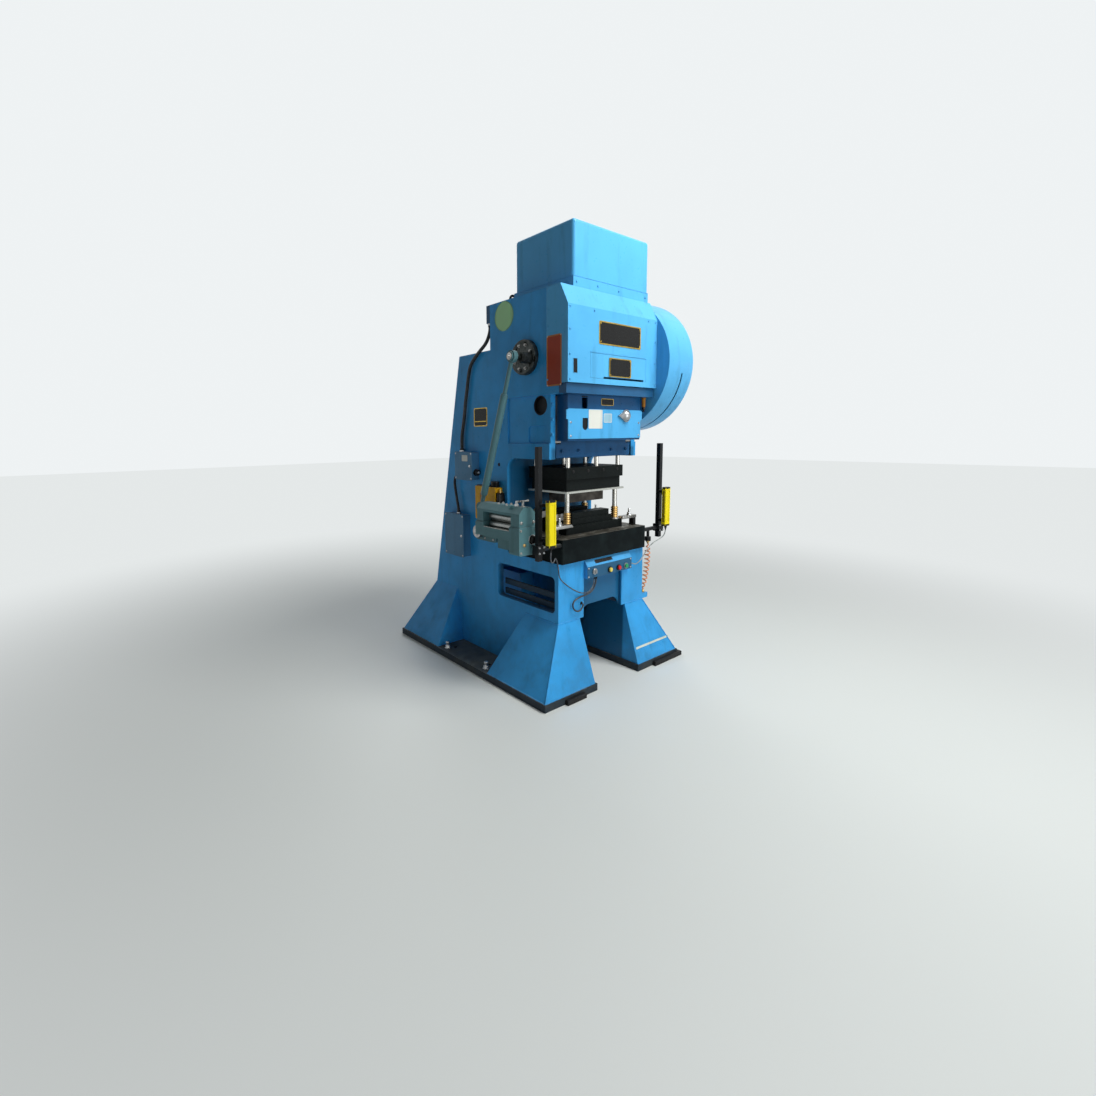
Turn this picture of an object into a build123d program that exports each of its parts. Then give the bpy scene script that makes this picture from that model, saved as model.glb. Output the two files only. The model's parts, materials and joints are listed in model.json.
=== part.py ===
"""C-frame crank press with roll feeder, light curtains and a die set in place.

Millimetres. X runs to the press's right, Y from the operator's side to the back, Z up from the floor.
Sizes and places are measured from the front face of the bed (Y = 0) and the centre plane (X = 0).
The finished pieces are moved so that the origin lies on the floor in the middle of the anchor bolts.
"""
import math
import os

from build123d import *

# Frame: two thick side plates joined by cross plates
HALF_WIDTH = 420.0
EDGE_INSET = 8.0
ROOF_INSET_LEFT = 102.0
ROOF_INSET_RIGHT = 20.0
PLATE_T = 50.0
CROSS_T = 40.0
RAIL_H = 45.0
LEG_TOP = 435.0
TABLE_TOP = 813.0
JAW_BOTTOM = 1448.0
JAW_FRONT = 78.0
CROWN_BOTTOM = 1840.0
CROWN_TOP = 2464.0
CROWN_DEPTH = 643.0
THROAT_DEPTH = 475.0
THROAT_FILLET = 70.0
SHOULDER_Z = 2170.0
SHOULDER_BACK = 1003.0
BACK_FOOT_Y = 1451.0
CROWN_LIP_FRONT = -60.0
CROWN_LIP_H = 58.0

# Window through the bed sides, and the arch between the front legs
WINDOW_FRONT = 31.0
WINDOW_BACK = 584.0
WINDOW_LOW = 495.0
WINDOW_HIGH = 725.0
WINDOW_R = 30.0
ARCH_HALF = 190.0
ARCH_TOP = 500.0
ARCH_R = 75.0
PANEL_RECESS = 25.0
TABLE_T = 50.0
TABLE_BACK = 640.0
DROP_HOLE_X = 300.0
DROP_HOLE_Y = 200.0

# Shallow recess, pocket and round hole on the outside of each jaw
JAW_RECESS = 10.0
JAW_RECESS_LOW = 1545.0
JAW_RECESS_BACK = 467.0
POCKET_DEPTH = 8.0
POCKET_FRONT = 92.0
POCKET_BACK = 274.0
POCKET_TOP = 1657.0
POCKET_R = 28.0
JAW_HOLE_Y = 168.0
JAW_HOLE_Z = 1778.0
JAW_HOLE_R = 60.0
JAW_HOLE_SKIN = 10.0
SIDE_HOLE_Y = 560.0
SIDE_HOLE_Z = 1402.0
SIDE_HOLE_R = 12.0

# Feet flare outward and forward from the bed, and stand on base rails
FOOT_INNER_TOP = 226.0
FOOT_INNER_LOW = 218.0
FOOT_OUTER = 654.0
FOOT_FRONT = -125.0
FOOT_BACK_TOP = 300.0
FOOT_BACK_LOW = 420.0
REAR_FOOT_BACK = 1520.0
REAR_FOOT_FRONT_TOP = 1080.0
REAR_FOOT_FRONT_LOW = 1010.0
RAIL_LIP = 10.0
BLOCK_H = 30.0
BLOCK_DEPTH = 150.0
BLOCK_CHAMFER = 3.0
RIGHT_BLOCK_IN = 370.0
RIGHT_BLOCK_OUT = 686.0
LEFT_BLOCK_IN = 334.0
LEFT_BLOCK_OUT = 497.0
BLOCK_PROUD = 25.0
ANCHOR_X = 560.0
ANCHOR_FRONT_Y = 520.0
ANCHOR_BACK_Y = 920.0
ANCHOR_R = 15.0
ANCHOR_MID_Y = (ANCHOR_FRONT_Y + ANCHOR_BACK_Y) / 2

# Crown cover, its hatch, and the sheet hood on the roof
SHEET_T = 6.0
COVER_FRONT = -76.0
COVER_LOW = 1900.0
COVER_BEVEL_Z = 2341.0
COVER_BEVEL_BACK = -15.0
COVER_BACK = 98.0
HATCH_LEFT = -233.0
HATCH_RIGHT = 309.0
HATCH_LOW = 1934.0
HATCH_TOP = 2088.0
HATCH_GAP = 1.0
FINGER_SLOT_LEFT = -112.0
FINGER_SLOT_RIGHT = 285.0
FINGER_SLOT_H = 12.0
VENT_SLOT_X = -363.0
VENT_SLOT_W = 34.0
VENT_SLOT_LOW = 1955.0
VENT_SLOT_HIGH = 2038.0
ROOF_LEFT = -HALF_WIDTH + ROOF_INSET_LEFT
ROOF_RIGHT = HALF_WIDTH - ROOF_INSET_RIGHT
ROOF_FRONT = -15.0
ROOF_BACK = 510.0
ROOF_BASE_H = 60.0
ROOF_HOOD_H = 324.0
ROOF_SEAM = CROWN_TOP + ROOF_BASE_H
ROOF_TOP = ROOF_SEAM + ROOF_HOOD_H
ROOF_R = 20.0
HOOD_SHEET = 3.0
HOOD_BACK_STEP = 14.0
CROWN_BACK_BLOCK = 37.0
CROWN_BACK_BLOCK_LOW = 2348.0

# Crankshaft across the crown, connecting rod and ball screw
CRANK_Y = 280.0
CRANK_Z = 2078.0
CRANK_THROW = 30.0
JOURNAL_R = 58.0
ECCENTRIC_R = 88.0
ECCENTRIC_W = 150.0
CHEEK_R = 80.0
CHEEK_W = 60.0
SHAFT_CHAMFER = 5.0
BUSH_R = 76.0
BUSH_FLANGE_R = 92.0
BUSH_FLANGE_T = 12.0
RUN_FIT = 0.05
SEAT_GAP = 0.3
ROD_BIG_R = 124.0
ROD_WIDTH = 140.0
ROD_SHANK_R = 52.0
ROD_LENGTH = 468.0
ROD_SOCKET_Z = 190.0
ROD_BOLT_R = 13.0
ROD_BOLT_X = 52.0
ROD_BOSS_R = 1.6 * ROD_BOLT_R
SCREW_R = 34.0
BALL_R = 55.0
SCREW_NUT_R = 60.0
SCREW_NUT_H = 34.0

# Slide in the jaws, its gibs, and the guard box in front of it
SLIDE_SIDE_GAP = 12.0
SLIDE_HALF = HALF_WIDTH - PLATE_T - SLIDE_SIDE_GAP
SLIDE_FRONT = 83.0
SLIDE_BACK = 457.0
SLIDE_BOTTOM = 1453.0
SLIDE_FLANGE_TOP = 1541.0
SLIDE_TOP = 1835.0
SLIDE_STROKE = 60.0
SLIDE_FLOOR = 62.0
SLIDE_CHAMFER = 4.0
WELL_HALF_X = 110.0
WELL_MARGIN = 6.0
GIB_SIZE = 52.0
GIB_FIT = 0.1
GIB_LOW = 1548.0
GIB_HIGH = 1832.0
HOUSING_INSET = 7.0
HOUSING_HALF = SLIDE_HALF - HOUSING_INSET
HOUSING_FRONT = -5.0
HOUSING_LOW = 1560.0
HOUSING_T = 8.0
SLIDE_COVER_LOW = 1572.0
SLIDE_COVER_HIGH = 1754.0
SLIDE_COVER_T = 6.0
EAR_W = 16.0
EAR_LOW = 1690.0
EAR_HIGH = 1748.0
GRIP_X = -200.0
GRIP_W = 50.0
GRIP_H = 74.0
GRIP_LOW_Z = 1662.0
GRIP_HIGH_Z = 1786.0
KNOB_X = 187.0
KNOB_DROP = 38.0
KNOB_Z = SLIDE_COVER_HIGH - KNOB_DROP
KNOB_R = 40.0
KNOB_H = 34.0
KNOB_TIP = 78.0
KNOB_POINT_HALF = 0.96 * KNOB_R

# Bolster plate and die set
BOLSTER_HALF = HALF_WIDTH - EDGE_INSET
BOLSTER_FRONT = -25.0
BOLSTER_BACK = 455.0
BOLSTER_T = 151.0
BOLSTER_CHAMFER = 6.0
BOLSTER_TOP = TABLE_TOP + BOLSTER_T
CLAMP_HOLE_R = 10.0
CLAMP_HOLE_DEPTH = 45.0
CLAMP_HOLE_X = 345.0
CLAMP_HOLE_FRONT = 65.0
CLAMP_HOLE_BACK = 365.0
DIE_HALF = 276.0
DIE_FRONT = 72.0
DIE_BACK = 415.0
LOWER_SHOE_T = 52.0
DIE_BLOCK_HALF = 196.0
DIE_BLOCK_MARGIN = 26.0
DIE_BLOCK_TOP = 1092.0
DIE_SLOT_W = 60.0
DIE_SLOT_H = 24.0
STRIPPER_T = 12.0
STRIPPER_PROUD = 6.0
PUNCH_CLOSED_GAP = 4.0
PUNCH_HALF = 170.0
PUNCH_DEPTH = 180.0
RISER_H = 63.0
UPPER_SHOE_T = 150.0
UPPER_SHOE_TOP = SLIDE_BOTTOM - RISER_H
UPPER_SHOE_LOW = UPPER_SHOE_TOP - UPPER_SHOE_T
STRIPPER_Z = UPPER_SHOE_LOW - STRIPPER_T
SHOE_STEP = 14.0
POST_X = 236.0
POST_INSET = 34.0
POST_R = 16.0
POST_CHAMFER = 3.0
POST_COVER = 60.0
POST_TOP = UPPER_SHOE_TOP - POST_COVER
CAGE_R = 25.0
CAGE_H = 88.0
CAGE_WIRE = 5.0
CAGE_TURNS = 6
RISER_R = 14.0
RISER_X = (-240.0, 30.0, 250.0)
RISER_INSET = 24.0
DIE_BUSH_R = 27.0

# Flywheel, belt drive and motor on the right side
FLYWHEEL_R = 405.0
FLYWHEEL_W = 130.0
FLYWHEEL_GAP = 60.0
FLYWHEEL_IN = HALF_WIDTH + FLYWHEEL_GAP
FLYWHEEL_OUT = FLYWHEEL_IN + FLYWHEEL_W
FLYWHEEL_RIM = 62.0
FLYWHEEL_WEB = 40.0
FLYWHEEL_HUB_R = 120.0
CLUTCH_R = 165.0
CLUTCH_W = 78.0
CLUTCH_STEP_R = 132.0
CLUTCH_CAP_R = 60.0
CLUTCH_CAP_W = 14.0
CLUTCH_START = FLYWHEEL_OUT + SEAT_GAP
CLUTCH_END = CLUTCH_START + CLUTCH_W
GUARD_T = 4.0
GUARD_ROOM = 20.7
GUARD_IN = HALF_WIDTH + SHEET_T
GUARD_OUT = CLUTCH_END + CLUTCH_CAP_W + GUARD_ROOM + GUARD_T
GUARD_R_ROOM = 50.0
GUARD_R = FLYWHEEL_R + GUARD_R_ROOM
GUARD_EDGE_R = 34.0
GUARD_HOLE_R = 215.0
GUARD_TAIL_ROOM = 30.0
GUARD_TAIL_OUT = FLYWHEEL_OUT + GUARD_TAIL_ROOM
RIM_SLOT_INSET = 25.0
RIM_SLOT_X = FLYWHEEL_OUT - RIM_SLOT_INSET
RIM_SLOT_W = 14.0
RIM_SLOT_START = 190.0
RIM_SLOT_END = 255.0
PULLEY_R = 75.0
PULLEY_Y = 880.0
PULLEY_Z = 2330.0
BELT_T = 9.0
BELT_W = 84.0
BELT_SIDE_GAP = 2.0
PULLEY_ROOM = 60.0
GUARD_TAIL_R = PULLEY_R + PULLEY_ROOM
MOTOR_R = 118.0
MOTOR_L = 330.0
MOTOR_INSET = 70.0
MOTOR_RIGHT = HALF_WIDTH - MOTOR_INSET
MOTOR_LEFT = MOTOR_RIGHT - MOTOR_L
MOTOR_FAN_END = 50.0
MOTOR_DRIVE_END = 40.0
TERMINAL_L = 140.0
TERMINAL_W = 110.0
TERMINAL_H = 62.0
MOTOR_SHAFT_R = 21.0
MOTOR_FIN_COUNT = 28
MOTOR_FIN_H = 12.0
MOTOR_FIN_T = 4.0
MOTOR_FOOT_T = 18.0

# Crank disc outside the left side plate, and the feed rod down to the feeder
DISC_R = 108.0
DISC_T = 34.0
DISC_GAP = 1.0
DISC_SLOT_W = 34.0
DISC_SLOT_DEPTH = 12.0
DISC_BOLT_R = 9.0
DISC_BOLT_CIRCLE = 0.76 * DISC_R
FEED_PIN_Y = 225.0
FEED_PIN_Z = 2066.0
FEED_BLOCK = 66.0
FEED_BLOCK_REACH = 115.0
FEED_BLOCK_OUT = -HALF_WIDTH - FEED_BLOCK_REACH
FEED_PIN_R = 20.0
EYE_R = 36.0
EYE_W = 30.0
EYE_CAP_R = 28.0
EYE_CAP_T = 9.0
FEED_ROD_LOW_Y = 548.0
FEED_ROD_LOW_Z = 1128.0
FEED_TUBE_R = 23.0
FEED_STUD_R = 13.0
ROD_NUT_R = 20.0
ROD_NUT_L = 10.0
TUBE_START = 0.24
TUBE_END = 0.90
OPEN_PIVOT_GAP = 1.5

# Roll feeder on the bolster's left end
FEEDER_W = 144.0
FEEDER_GAP = 136.0
FEEDER_RIGHT = -HALF_WIDTH - FEEDER_GAP
FEEDER_LEFT = FEEDER_RIGHT - FEEDER_W
FEED_PLANE_INSET = 29.0
FEED_PLANE = FEEDER_RIGHT - FEED_PLANE_INSET
FEEDER_FRONT = 42.0
FEEDER_BACK = 462.0
FEEDER_BEAM_LOW = 976.0
FEEDER_BEAM_TOP = 1034.0
FEEDER_BLOCK_LOW = 896.0
FEEDER_FRONT_W = 92.0
FEEDER_REAR_W = 80.0
FEEDER_BLOCK_TOP = 1064.0
FEEDER_BLOCK_R = 14.0
FEEDER_PLATE_LOW = 880.0
FEEDER_PLATE_T = 22.0
FEEDER_WEB_T = 26.0
GEARBOX_INSET = 26.0
GEARBOX_GAP = 20.0
GEARBOX_LEFT = FEEDER_RIGHT + GEARBOX_INSET
GEARBOX_RIGHT = -HALF_WIDTH - GEARBOX_GAP
GEARBOX_BACK = 690.0
GEARBOX_LOW = 890.0
GEARBOX_TOP = 1012.0
GEARBOX_R = 24.0
YOKE_TOP = 1178.0
YOKE_T = 26.0
YOKE_CROWN = 26.0
YOKE_SHOULDER = 0.6 * YOKE_T
YOKE_CREST_SHARE = 0.45
YOKE_INSET = 8.0
YOKE_SLOT_SHARE = 0.7
JOURNAL_L = 38.0
ROLL_R = 27.0
ROLL_JOURNAL_R = 14.0
STRIP_GAP = 0.5
PASS_LINE = DIE_BLOCK_TOP - DIE_SLOT_H
ROLL_Y_GAP = 2.0
ROLL_X = (FEEDER_LEFT + FEEDER_RIGHT) / 2
ARM_HUB_Y = 637.0
ARM_HUB_Z = 950.0
ARM_HUB_R = 42.0
ARM_T = 22.0
ARM_END_R = 30.0
ARM_SHAFT_R = 18.0
ARM_PIN_R = 14.0
TEE_Y = 88.0
TEE_STEM_R = 7.0
TEE_COLLAR_R = 12.6
TEE_COLLAR_H = 7.0
TEE_BAR_R = 6.5
TEE_BAR_HALF = 42.0
TEE_RISE = 34.0
STRAP_Y = 250.0
STRAP_W = 150.0

# Light curtains on posts at both ends of the bolster
CURTAIN_REACH = 145.0
CURTAIN_X = HALF_WIDTH + CURTAIN_REACH
CURTAIN_FRONT = -98.0
CURTAIN_W = 58.0
CURTAIN_D = 33.0
CURTAIN_LOW = 953.0
CURTAIN_HIGH = 1226.0
CURTAIN_CAP = 12.0
CURTAIN_EDGE_R = 6.0
CURTAIN_FRAME = 14.0
CURTAIN_LENS_DEPTH = 2.0
CURTAIN_POST = 30.0
POST_REACH = 170.0
CURTAIN_POST_X = HALF_WIDTH + POST_REACH
CURTAIN_POST_Y = -5.0
CURTAIN_POST_LOW = 862.0
CURTAIN_POST_HIGH = 1528.0
CURTAIN_PIPE_R = 14.0
CURTAIN_PIPE_Z = 930.0
CURTAIN_CLAMP = 52.0
CURTAIN_BRACKET_T = 6.0
CURTAIN_BRACKET_INSET = 34.0
BRACKET_PLATE = 40.0
BRACKET_ARM_W = 10.0

# Control box under the bolster
BOX_LEFT = -ARCH_HALF
BOX_RIGHT = 256.0
BOX_FRONT = -30.0
BOX_LOW = 689.0
BOX_SLOPE_Z = 764.0
BOX_SLOPE_Y = -2.0
BOX_HIGH = 807.0
BUTTON_Z = 717.0
YELLOW_X = 26.0
RED_X = 114.0
GREEN_X = 190.0
SELECTOR_X = -126.0
SELECTOR_Z = 730.0
COLLAR_R = 19.0
COLLAR_H = 8.0
CAP_R = 14.0
CAP_PROUD = 9.0
CAP_DEPTH = 14.0
CAP_FIT = 0.3
BUTTON_TRAVEL = 5.0
CAP_EDGE_R = 3.0
GRIP_BAR_W = 8.0
GRIP_BAR_INSET = 2.0

# Boxes on the left side of the column
UPPER_BOX = (785.0, 985.0, 1287.0, 1482.0)
LOWER_BOX = (900.0, 1130.0, 714.0, 1022.0)
UNIT_BOX = (528.0, 741.0, 1026.0, 1249.0)
SIDE_BOX_DEPTH = 62.0
SIDE_BOX_R = 8.0
LID_T = 5.0
LID_PROUD = 4.0
UNIT_CAP_R = 26.0
UNIT_CAP_H = 40.0
UNIT_CAP_INSET = 40.0

# Conduits on the left side, and free cables and the air hose at the front
UPPER_CONDUIT_R = 12.0
UPPER_CONDUIT = ((-402, 662, 2348), (-402, 662, 2314), (-406, 670, 2272), (-416, 692, 2220), (-438, 738, 2172),
                 (-440, 794, 2132), (-440, 842, 2088), (-440, 866, 2030), (-440, 882, 1950), (-440, 908, 1840),
                 (-440, 930, 1712), (-440, 958, 1610), (-440, 962, 1540), (-440, 962, 1482))
LOWER_CONDUIT_R = 10.0
LOWER_CONDUIT = ((-450, 985, 1312), (-450, 1032, 1312), (-450, 1050, 1262), (-450, 1042, 1205), (-450, 1020, 1120),
                 (-450, 1002, 1062), (-450, 1002, 1022))
CONTROL_CABLE_R = 5.0
CONTROL_CABLE = ((-80, -8, 689), (-80, -8, 668), (-90, -10, 640), (-112, -12, 606), (-150, -14, 588),
                 (-204, -14, 582), (-262, -16, 578), (-306, -17, 562), (-312, -18, 528), (-286, -18, 498),
                 (-256, -19, 490), (-228, -20, 504), (-214, -20, 532), (-214, 0, 532))
CURTAIN_CABLE_R = 3.5
LEFT_CABLE = ((-565, -82, 941), (-565, -82, 921), (-570, -84, 898), (-566, -82, 872), (-548, -76, 856),
              (-526, -66, 858), (-506, -56, 874), (-488, -46, 868), (-470, -38, 846), (-456, -32, 816),
              (-446, -28, 782), (-437, -22, 750), (-418, -16, 724), (-384, -15, 694), (-340, -15, 662),
              (-292, -15, 632), (-240, -15, 606), (-190, -15, 594), (-146, -15, 602), (-118, -14, 630),
              (-104, -12, 662), (-104, -12, 689))
RIGHT_CABLE = ((565, -82, 941), (565, -82, 921), (560, -82, 899), (542, -78, 877), (510, -70, 862),
               (466, -60, 846), (428, -50, 820), (398, -42, 784), (370, -36, 748), (338, -30, 718),
               (306, -22, 704), (282, -14, 716), (256, -14, 716))
CABLE_GLAND_R = 7.0
CABLE_GLAND_H = CURTAIN_LOW - LEFT_CABLE[0][2]
HOSE_R = 21.0
HOSE = ((470, -5, 846), (470, -5, 800), (473, -3, 730), (472, 2, 660), (469, 10, 596), (464, 20, 536),
        (464, 24, 502), (464, 24, 470))
HOSE_NECK_R = 10.0
HOSE_COLLAR_H = 30.0
SOCKET_MARGIN = 2.0


def block(x0, x1, y0, y1, z0, z1):
    """Box between two corners."""
    return Pos((x0 + x1) / 2, (y0 + y1) / 2, (z0 + z1) / 2) * Box(x1 - x0, y1 - y0, z1 - z0)


def bar_x(radius, x0, x1, y, z):
    """Round bar along X."""
    return Pos((x0 + x1) / 2, y, z) * Rot(0, 90, 0) * Cylinder(radius, x1 - x0)


def bar_y(radius, x, y0, y1, z):
    """Round bar along Y."""
    return Pos(x, (y0 + y1) / 2, z) * Rot(90, 0, 0) * Cylinder(radius, y1 - y0)


def bar_z(radius, x, y, z0, z1):
    """Round bar along Z."""
    return Pos(x, y, (z0 + z1) / 2) * Cylinder(radius, z1 - z0)


def slab_yz(points, x0, x1):
    """Outline in Y and Z, as thick as from x0 to x1."""
    outline = Plane.YZ.offset(x0) * Polygon(*points, align=None)
    return extrude(outline, amount=x1 - x0, dir=(1, 0, 0))


def slab_xz(points, y0, y1):
    """Outline in X and Z, as thick as from y0 to y1."""
    outline = Plane.XZ.offset(-y1) * Polygon(*points, align=None)
    return extrude(outline, amount=y1 - y0, dir=(0, -1, 0))


def slot_plug(x, z, width, height, y0, y1):
    """Upright slot with a round lower end, through a sheet."""
    radius = width / 2
    upper = block(x - radius, x + radius, y0, y1, z - height / 2 + radius, z + height / 2)
    return upper + bar_y(radius, x, y0, y1, z - height / 2 + radius)


def rounded_edges(part, axis, radius):
    """Round every edge that runs along one axis."""
    return fillet(part.edges().filter_by(axis), radius)


def back_y(z):
    """Back edge of the column, which leans forward as it rises."""
    rise = (z - RAIL_H) / (SHOULDER_Z - RAIL_H)
    return BACK_FOOT_Y + (SHOULDER_BACK - BACK_FOOT_Y) * rise


def side_plate(side):
    """C-shaped side plate with the bed window, jaw recess and bearing hole. side is -1 left, +1 right."""
    inner = HALF_WIDTH - PLATE_T
    x0, x1 = sorted((side * inner, side * HALF_WIDTH))
    outline = [
        (0, LEG_TOP), (FOOT_BACK_TOP, LEG_TOP), (FOOT_BACK_LOW, RAIL_H), (REAR_FOOT_FRONT_LOW, RAIL_H),
        (REAR_FOOT_FRONT_TOP, LEG_TOP), (back_y(LEG_TOP), LEG_TOP), (SHOULDER_BACK, SHOULDER_Z),
        (CROWN_DEPTH, SHOULDER_Z), (CROWN_DEPTH, CROWN_TOP), (0, CROWN_TOP), (0, CROWN_BOTTOM),
        (JAW_FRONT, CROWN_BOTTOM), (JAW_FRONT, JAW_BOTTOM), (THROAT_DEPTH, JAW_BOTTOM),
        (THROAT_DEPTH, TABLE_TOP), (0, TABLE_TOP),
    ]
    plate = slab_yz(outline, x0, x1)
    inner_corner = (side * inner, THROAT_DEPTH, JAW_BOTTOM)
    throat_corner = plate.edges().filter_by(Axis.X).sort_by_distance(inner_corner)[0]
    plate = fillet(throat_corner, THROAT_FILLET)
    window = block(x0 - 1, x1 + 1, WINDOW_FRONT, WINDOW_BACK, WINDOW_LOW, WINDOW_HIGH)
    plate -= rounded_edges(window, Axis.X, WINDOW_R)
    plate -= bar_x(BUSH_R + RUN_FIT, x0 - 1, x1 + 1, CRANK_Y, CRANK_Z)
    plate -= bar_x(SIDE_HOLE_R, x0 - 1, x1 + 1, SIDE_HOLE_Y, SIDE_HOLE_Z)
    plate -= jaw_recess(side)
    return plate + hose_socket() if side > 0 else plate


def hose_socket():
    """Block on the right side plate that takes the air hose's lower end."""
    x, y, z = HOSE[-1]
    reach = HOSE_R + SOCKET_MARGIN
    return block(HALF_WIDTH, x + reach, y - reach, y + reach, LEG_TOP, z)


def jaw_recess(side):
    """What is cut from the outside of one jaw: the recess, the pocket in it and the round hole."""
    face = HALF_WIDTH - JAW_RECESS
    r0, r1 = sorted((side * face, side * (HALF_WIDTH + 1)))
    recess = block(r0, r1, JAW_FRONT - 1, JAW_RECESS_BACK, JAW_RECESS_LOW, CROWN_BOTTOM)
    p0, p1 = sorted((side * (face - POCKET_DEPTH), side * (HALF_WIDTH + 1)))
    pocket = block(p0, p1, POCKET_FRONT, POCKET_BACK, JAW_RECESS_LOW, POCKET_TOP)
    pocket = rounded_edges(pocket, Axis.X, POCKET_R)
    h0, h1 = sorted((side * (HALF_WIDTH - PLATE_T + JAW_HOLE_SKIN), side * (HALF_WIDTH + 1)))
    hole = bar_x(JAW_HOLE_R, h0, h1, JAW_HOLE_Y, JAW_HOLE_Z)
    return recess + pocket + hole


def bed_front_panel():
    """Front wall of the bed: posts at both sides, a set-back centre and the arch between the legs."""
    inner = HALF_WIDTH - PLATE_T
    panel = block(-inner, inner, 0, CROSS_T, LEG_TOP, TABLE_TOP)
    panel -= block(-ARCH_HALF, ARCH_HALF, -1, PANEL_RECESS, LEG_TOP - 1, TABLE_TOP + 1)
    arch = block(-ARCH_HALF, ARCH_HALF, -1, CROSS_T + 1, LEG_TOP - ARCH_R, ARCH_TOP)
    upper = arch.edges().filter_by(Axis.Y).group_by(Axis.Z)[-1]
    return panel - fillet(upper, min(ARCH_R, ARCH_HALF / 2))


def table_plate():
    """Bed top under the bolster, with the drop hole for parts and scrap."""
    inner = HALF_WIDTH - PLATE_T
    plate = block(-inner, inner, CROSS_T, TABLE_BACK, TABLE_TOP - TABLE_T, TABLE_TOP)
    middle = (BOLSTER_FRONT + BOLSTER_BACK) / 2
    hole = block(-DROP_HOLE_X / 2, DROP_HOLE_X / 2, middle - DROP_HOLE_Y / 2, middle + DROP_HOLE_Y / 2,
                 TABLE_TOP - TABLE_T - 1, TABLE_TOP + 1)
    return plate - rounded_edges(hole, Axis.Z, WINDOW_R)


def throat_plate():
    """Upright plate that closes the back of the throat between the side plates."""
    inner = HALF_WIDTH - PLATE_T
    return block(-inner, inner, THROAT_DEPTH, THROAT_DEPTH + CROSS_T, TABLE_TOP, CROWN_BOTTOM)


def rear_plate():
    """Leaning back plate of the column, folded forward at the shoulder under the motor."""
    inner = HALF_WIDTH - PLATE_T
    outline = [
        (back_y(LEG_TOP) - CROSS_T, LEG_TOP), (back_y(LEG_TOP), LEG_TOP), (SHOULDER_BACK, SHOULDER_Z),
        (CROWN_DEPTH, SHOULDER_Z), (CROWN_DEPTH, SHOULDER_Z - CROSS_T),
        (back_y(SHOULDER_Z - CROSS_T) - CROSS_T, SHOULDER_Z - CROSS_T),
    ]
    return slab_yz(outline, -inner, inner)


def crown_box():
    """Cross plates of the crown: front beam, front plate, roof plate, back plate and back ledge."""
    inner = HALF_WIDTH - PLATE_T
    lip = block(-HALF_WIDTH, HALF_WIDTH, CROWN_LIP_FRONT, 0, CROWN_BOTTOM, CROWN_BOTTOM + CROWN_LIP_H)
    front = block(-inner, inner, 0, CROSS_T, CROWN_BOTTOM, CROWN_TOP)
    roof = block(-inner, inner, CROSS_T, CROWN_DEPTH, CROWN_TOP - CROSS_T, CROWN_TOP)
    back = block(-inner, inner, CROWN_DEPTH - CROSS_T, CROWN_DEPTH, SHOULDER_Z, CROWN_TOP - CROSS_T)
    ledge = block(-HALF_WIDTH, HALF_WIDTH, CROWN_DEPTH, CROWN_DEPTH + CROWN_BACK_BLOCK,
                  CROWN_BACK_BLOCK_LOW, CROWN_TOP)
    return lip + front + roof + back + ledge


def flared_foot(side, y_top, y_low):
    """Welded foot that widens to the floor. y_top and y_low are its front and back at each level."""
    def level(inner, outer, span, z):
        x0, x1 = sorted((side * inner, side * outer))
        centre = ((x0 + x1) / 2, (span[0] + span[1]) / 2)
        return Pos(centre[0], centre[1], z) * Rectangle(x1 - x0, span[1] - span[0])
    top = level(FOOT_INNER_TOP, HALF_WIDTH, y_top, LEG_TOP)
    low = level(FOOT_INNER_LOW, FOOT_OUTER, y_low, RAIL_H)
    return loft([low, top])


def front_feet():
    """The two front feet."""
    return [flared_foot(s, (0, FOOT_BACK_TOP), (FOOT_FRONT, FOOT_BACK_LOW)) for s in (-1, 1)]


def rear_feet():
    """The two rear feet."""
    y_top = (REAR_FOOT_FRONT_TOP, back_y(LEG_TOP))
    return [flared_foot(s, y_top, (REAR_FOOT_FRONT_LOW, REAR_FOOT_BACK)) for s in (-1, 1)]


def block_spans():
    """Each levelling block's X range, the Y of its outer face, and its direction into the rail."""
    front = FOOT_FRONT - RAIL_LIP
    back = REAR_FOOT_BACK + RAIL_LIP
    right = (RIGHT_BLOCK_IN, RIGHT_BLOCK_OUT)
    left = (-LEFT_BLOCK_OUT, -LEFT_BLOCK_IN)
    return [(span, edge, way) for span in (left, right) for edge, way in ((front, 1), (back, -1))]


def levelling_block(span, edge, way):
    """Steel block under one end of a rail, a little proud of it."""
    y0, y1 = sorted((edge - way * BLOCK_PROUD, edge + way * BLOCK_DEPTH))
    return block(span[0], span[1], y0, y1, 0, BLOCK_H)


def base_rails():
    """Flat base under the feet of each side, notched for the levelling blocks and drilled for anchors."""
    rails = []
    for side in (-1, 1):
        x0, x1 = sorted((side * (FOOT_INNER_LOW - RAIL_LIP), side * (FOOT_OUTER + RAIL_LIP)))
        rail = block(x0, x1, FOOT_FRONT - RAIL_LIP, REAR_FOOT_BACK + RAIL_LIP, 0, RAIL_H)
        for y in (ANCHOR_FRONT_Y, ANCHOR_BACK_Y):
            rail -= bar_z(ANCHOR_R, side * ANCHOR_X, y, -1, RAIL_H + 1)
        for spec in block_spans():
            rail -= levelling_block(*spec)
        rails.append(rail)
    return rails


def levelling_blocks():
    """Four levelling blocks."""
    blocks = [levelling_block(*spec) for spec in block_spans()]
    return [chamfer(item.edges().group_by(Axis.Z)[-1], BLOCK_CHAMFER) for item in blocks]


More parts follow.
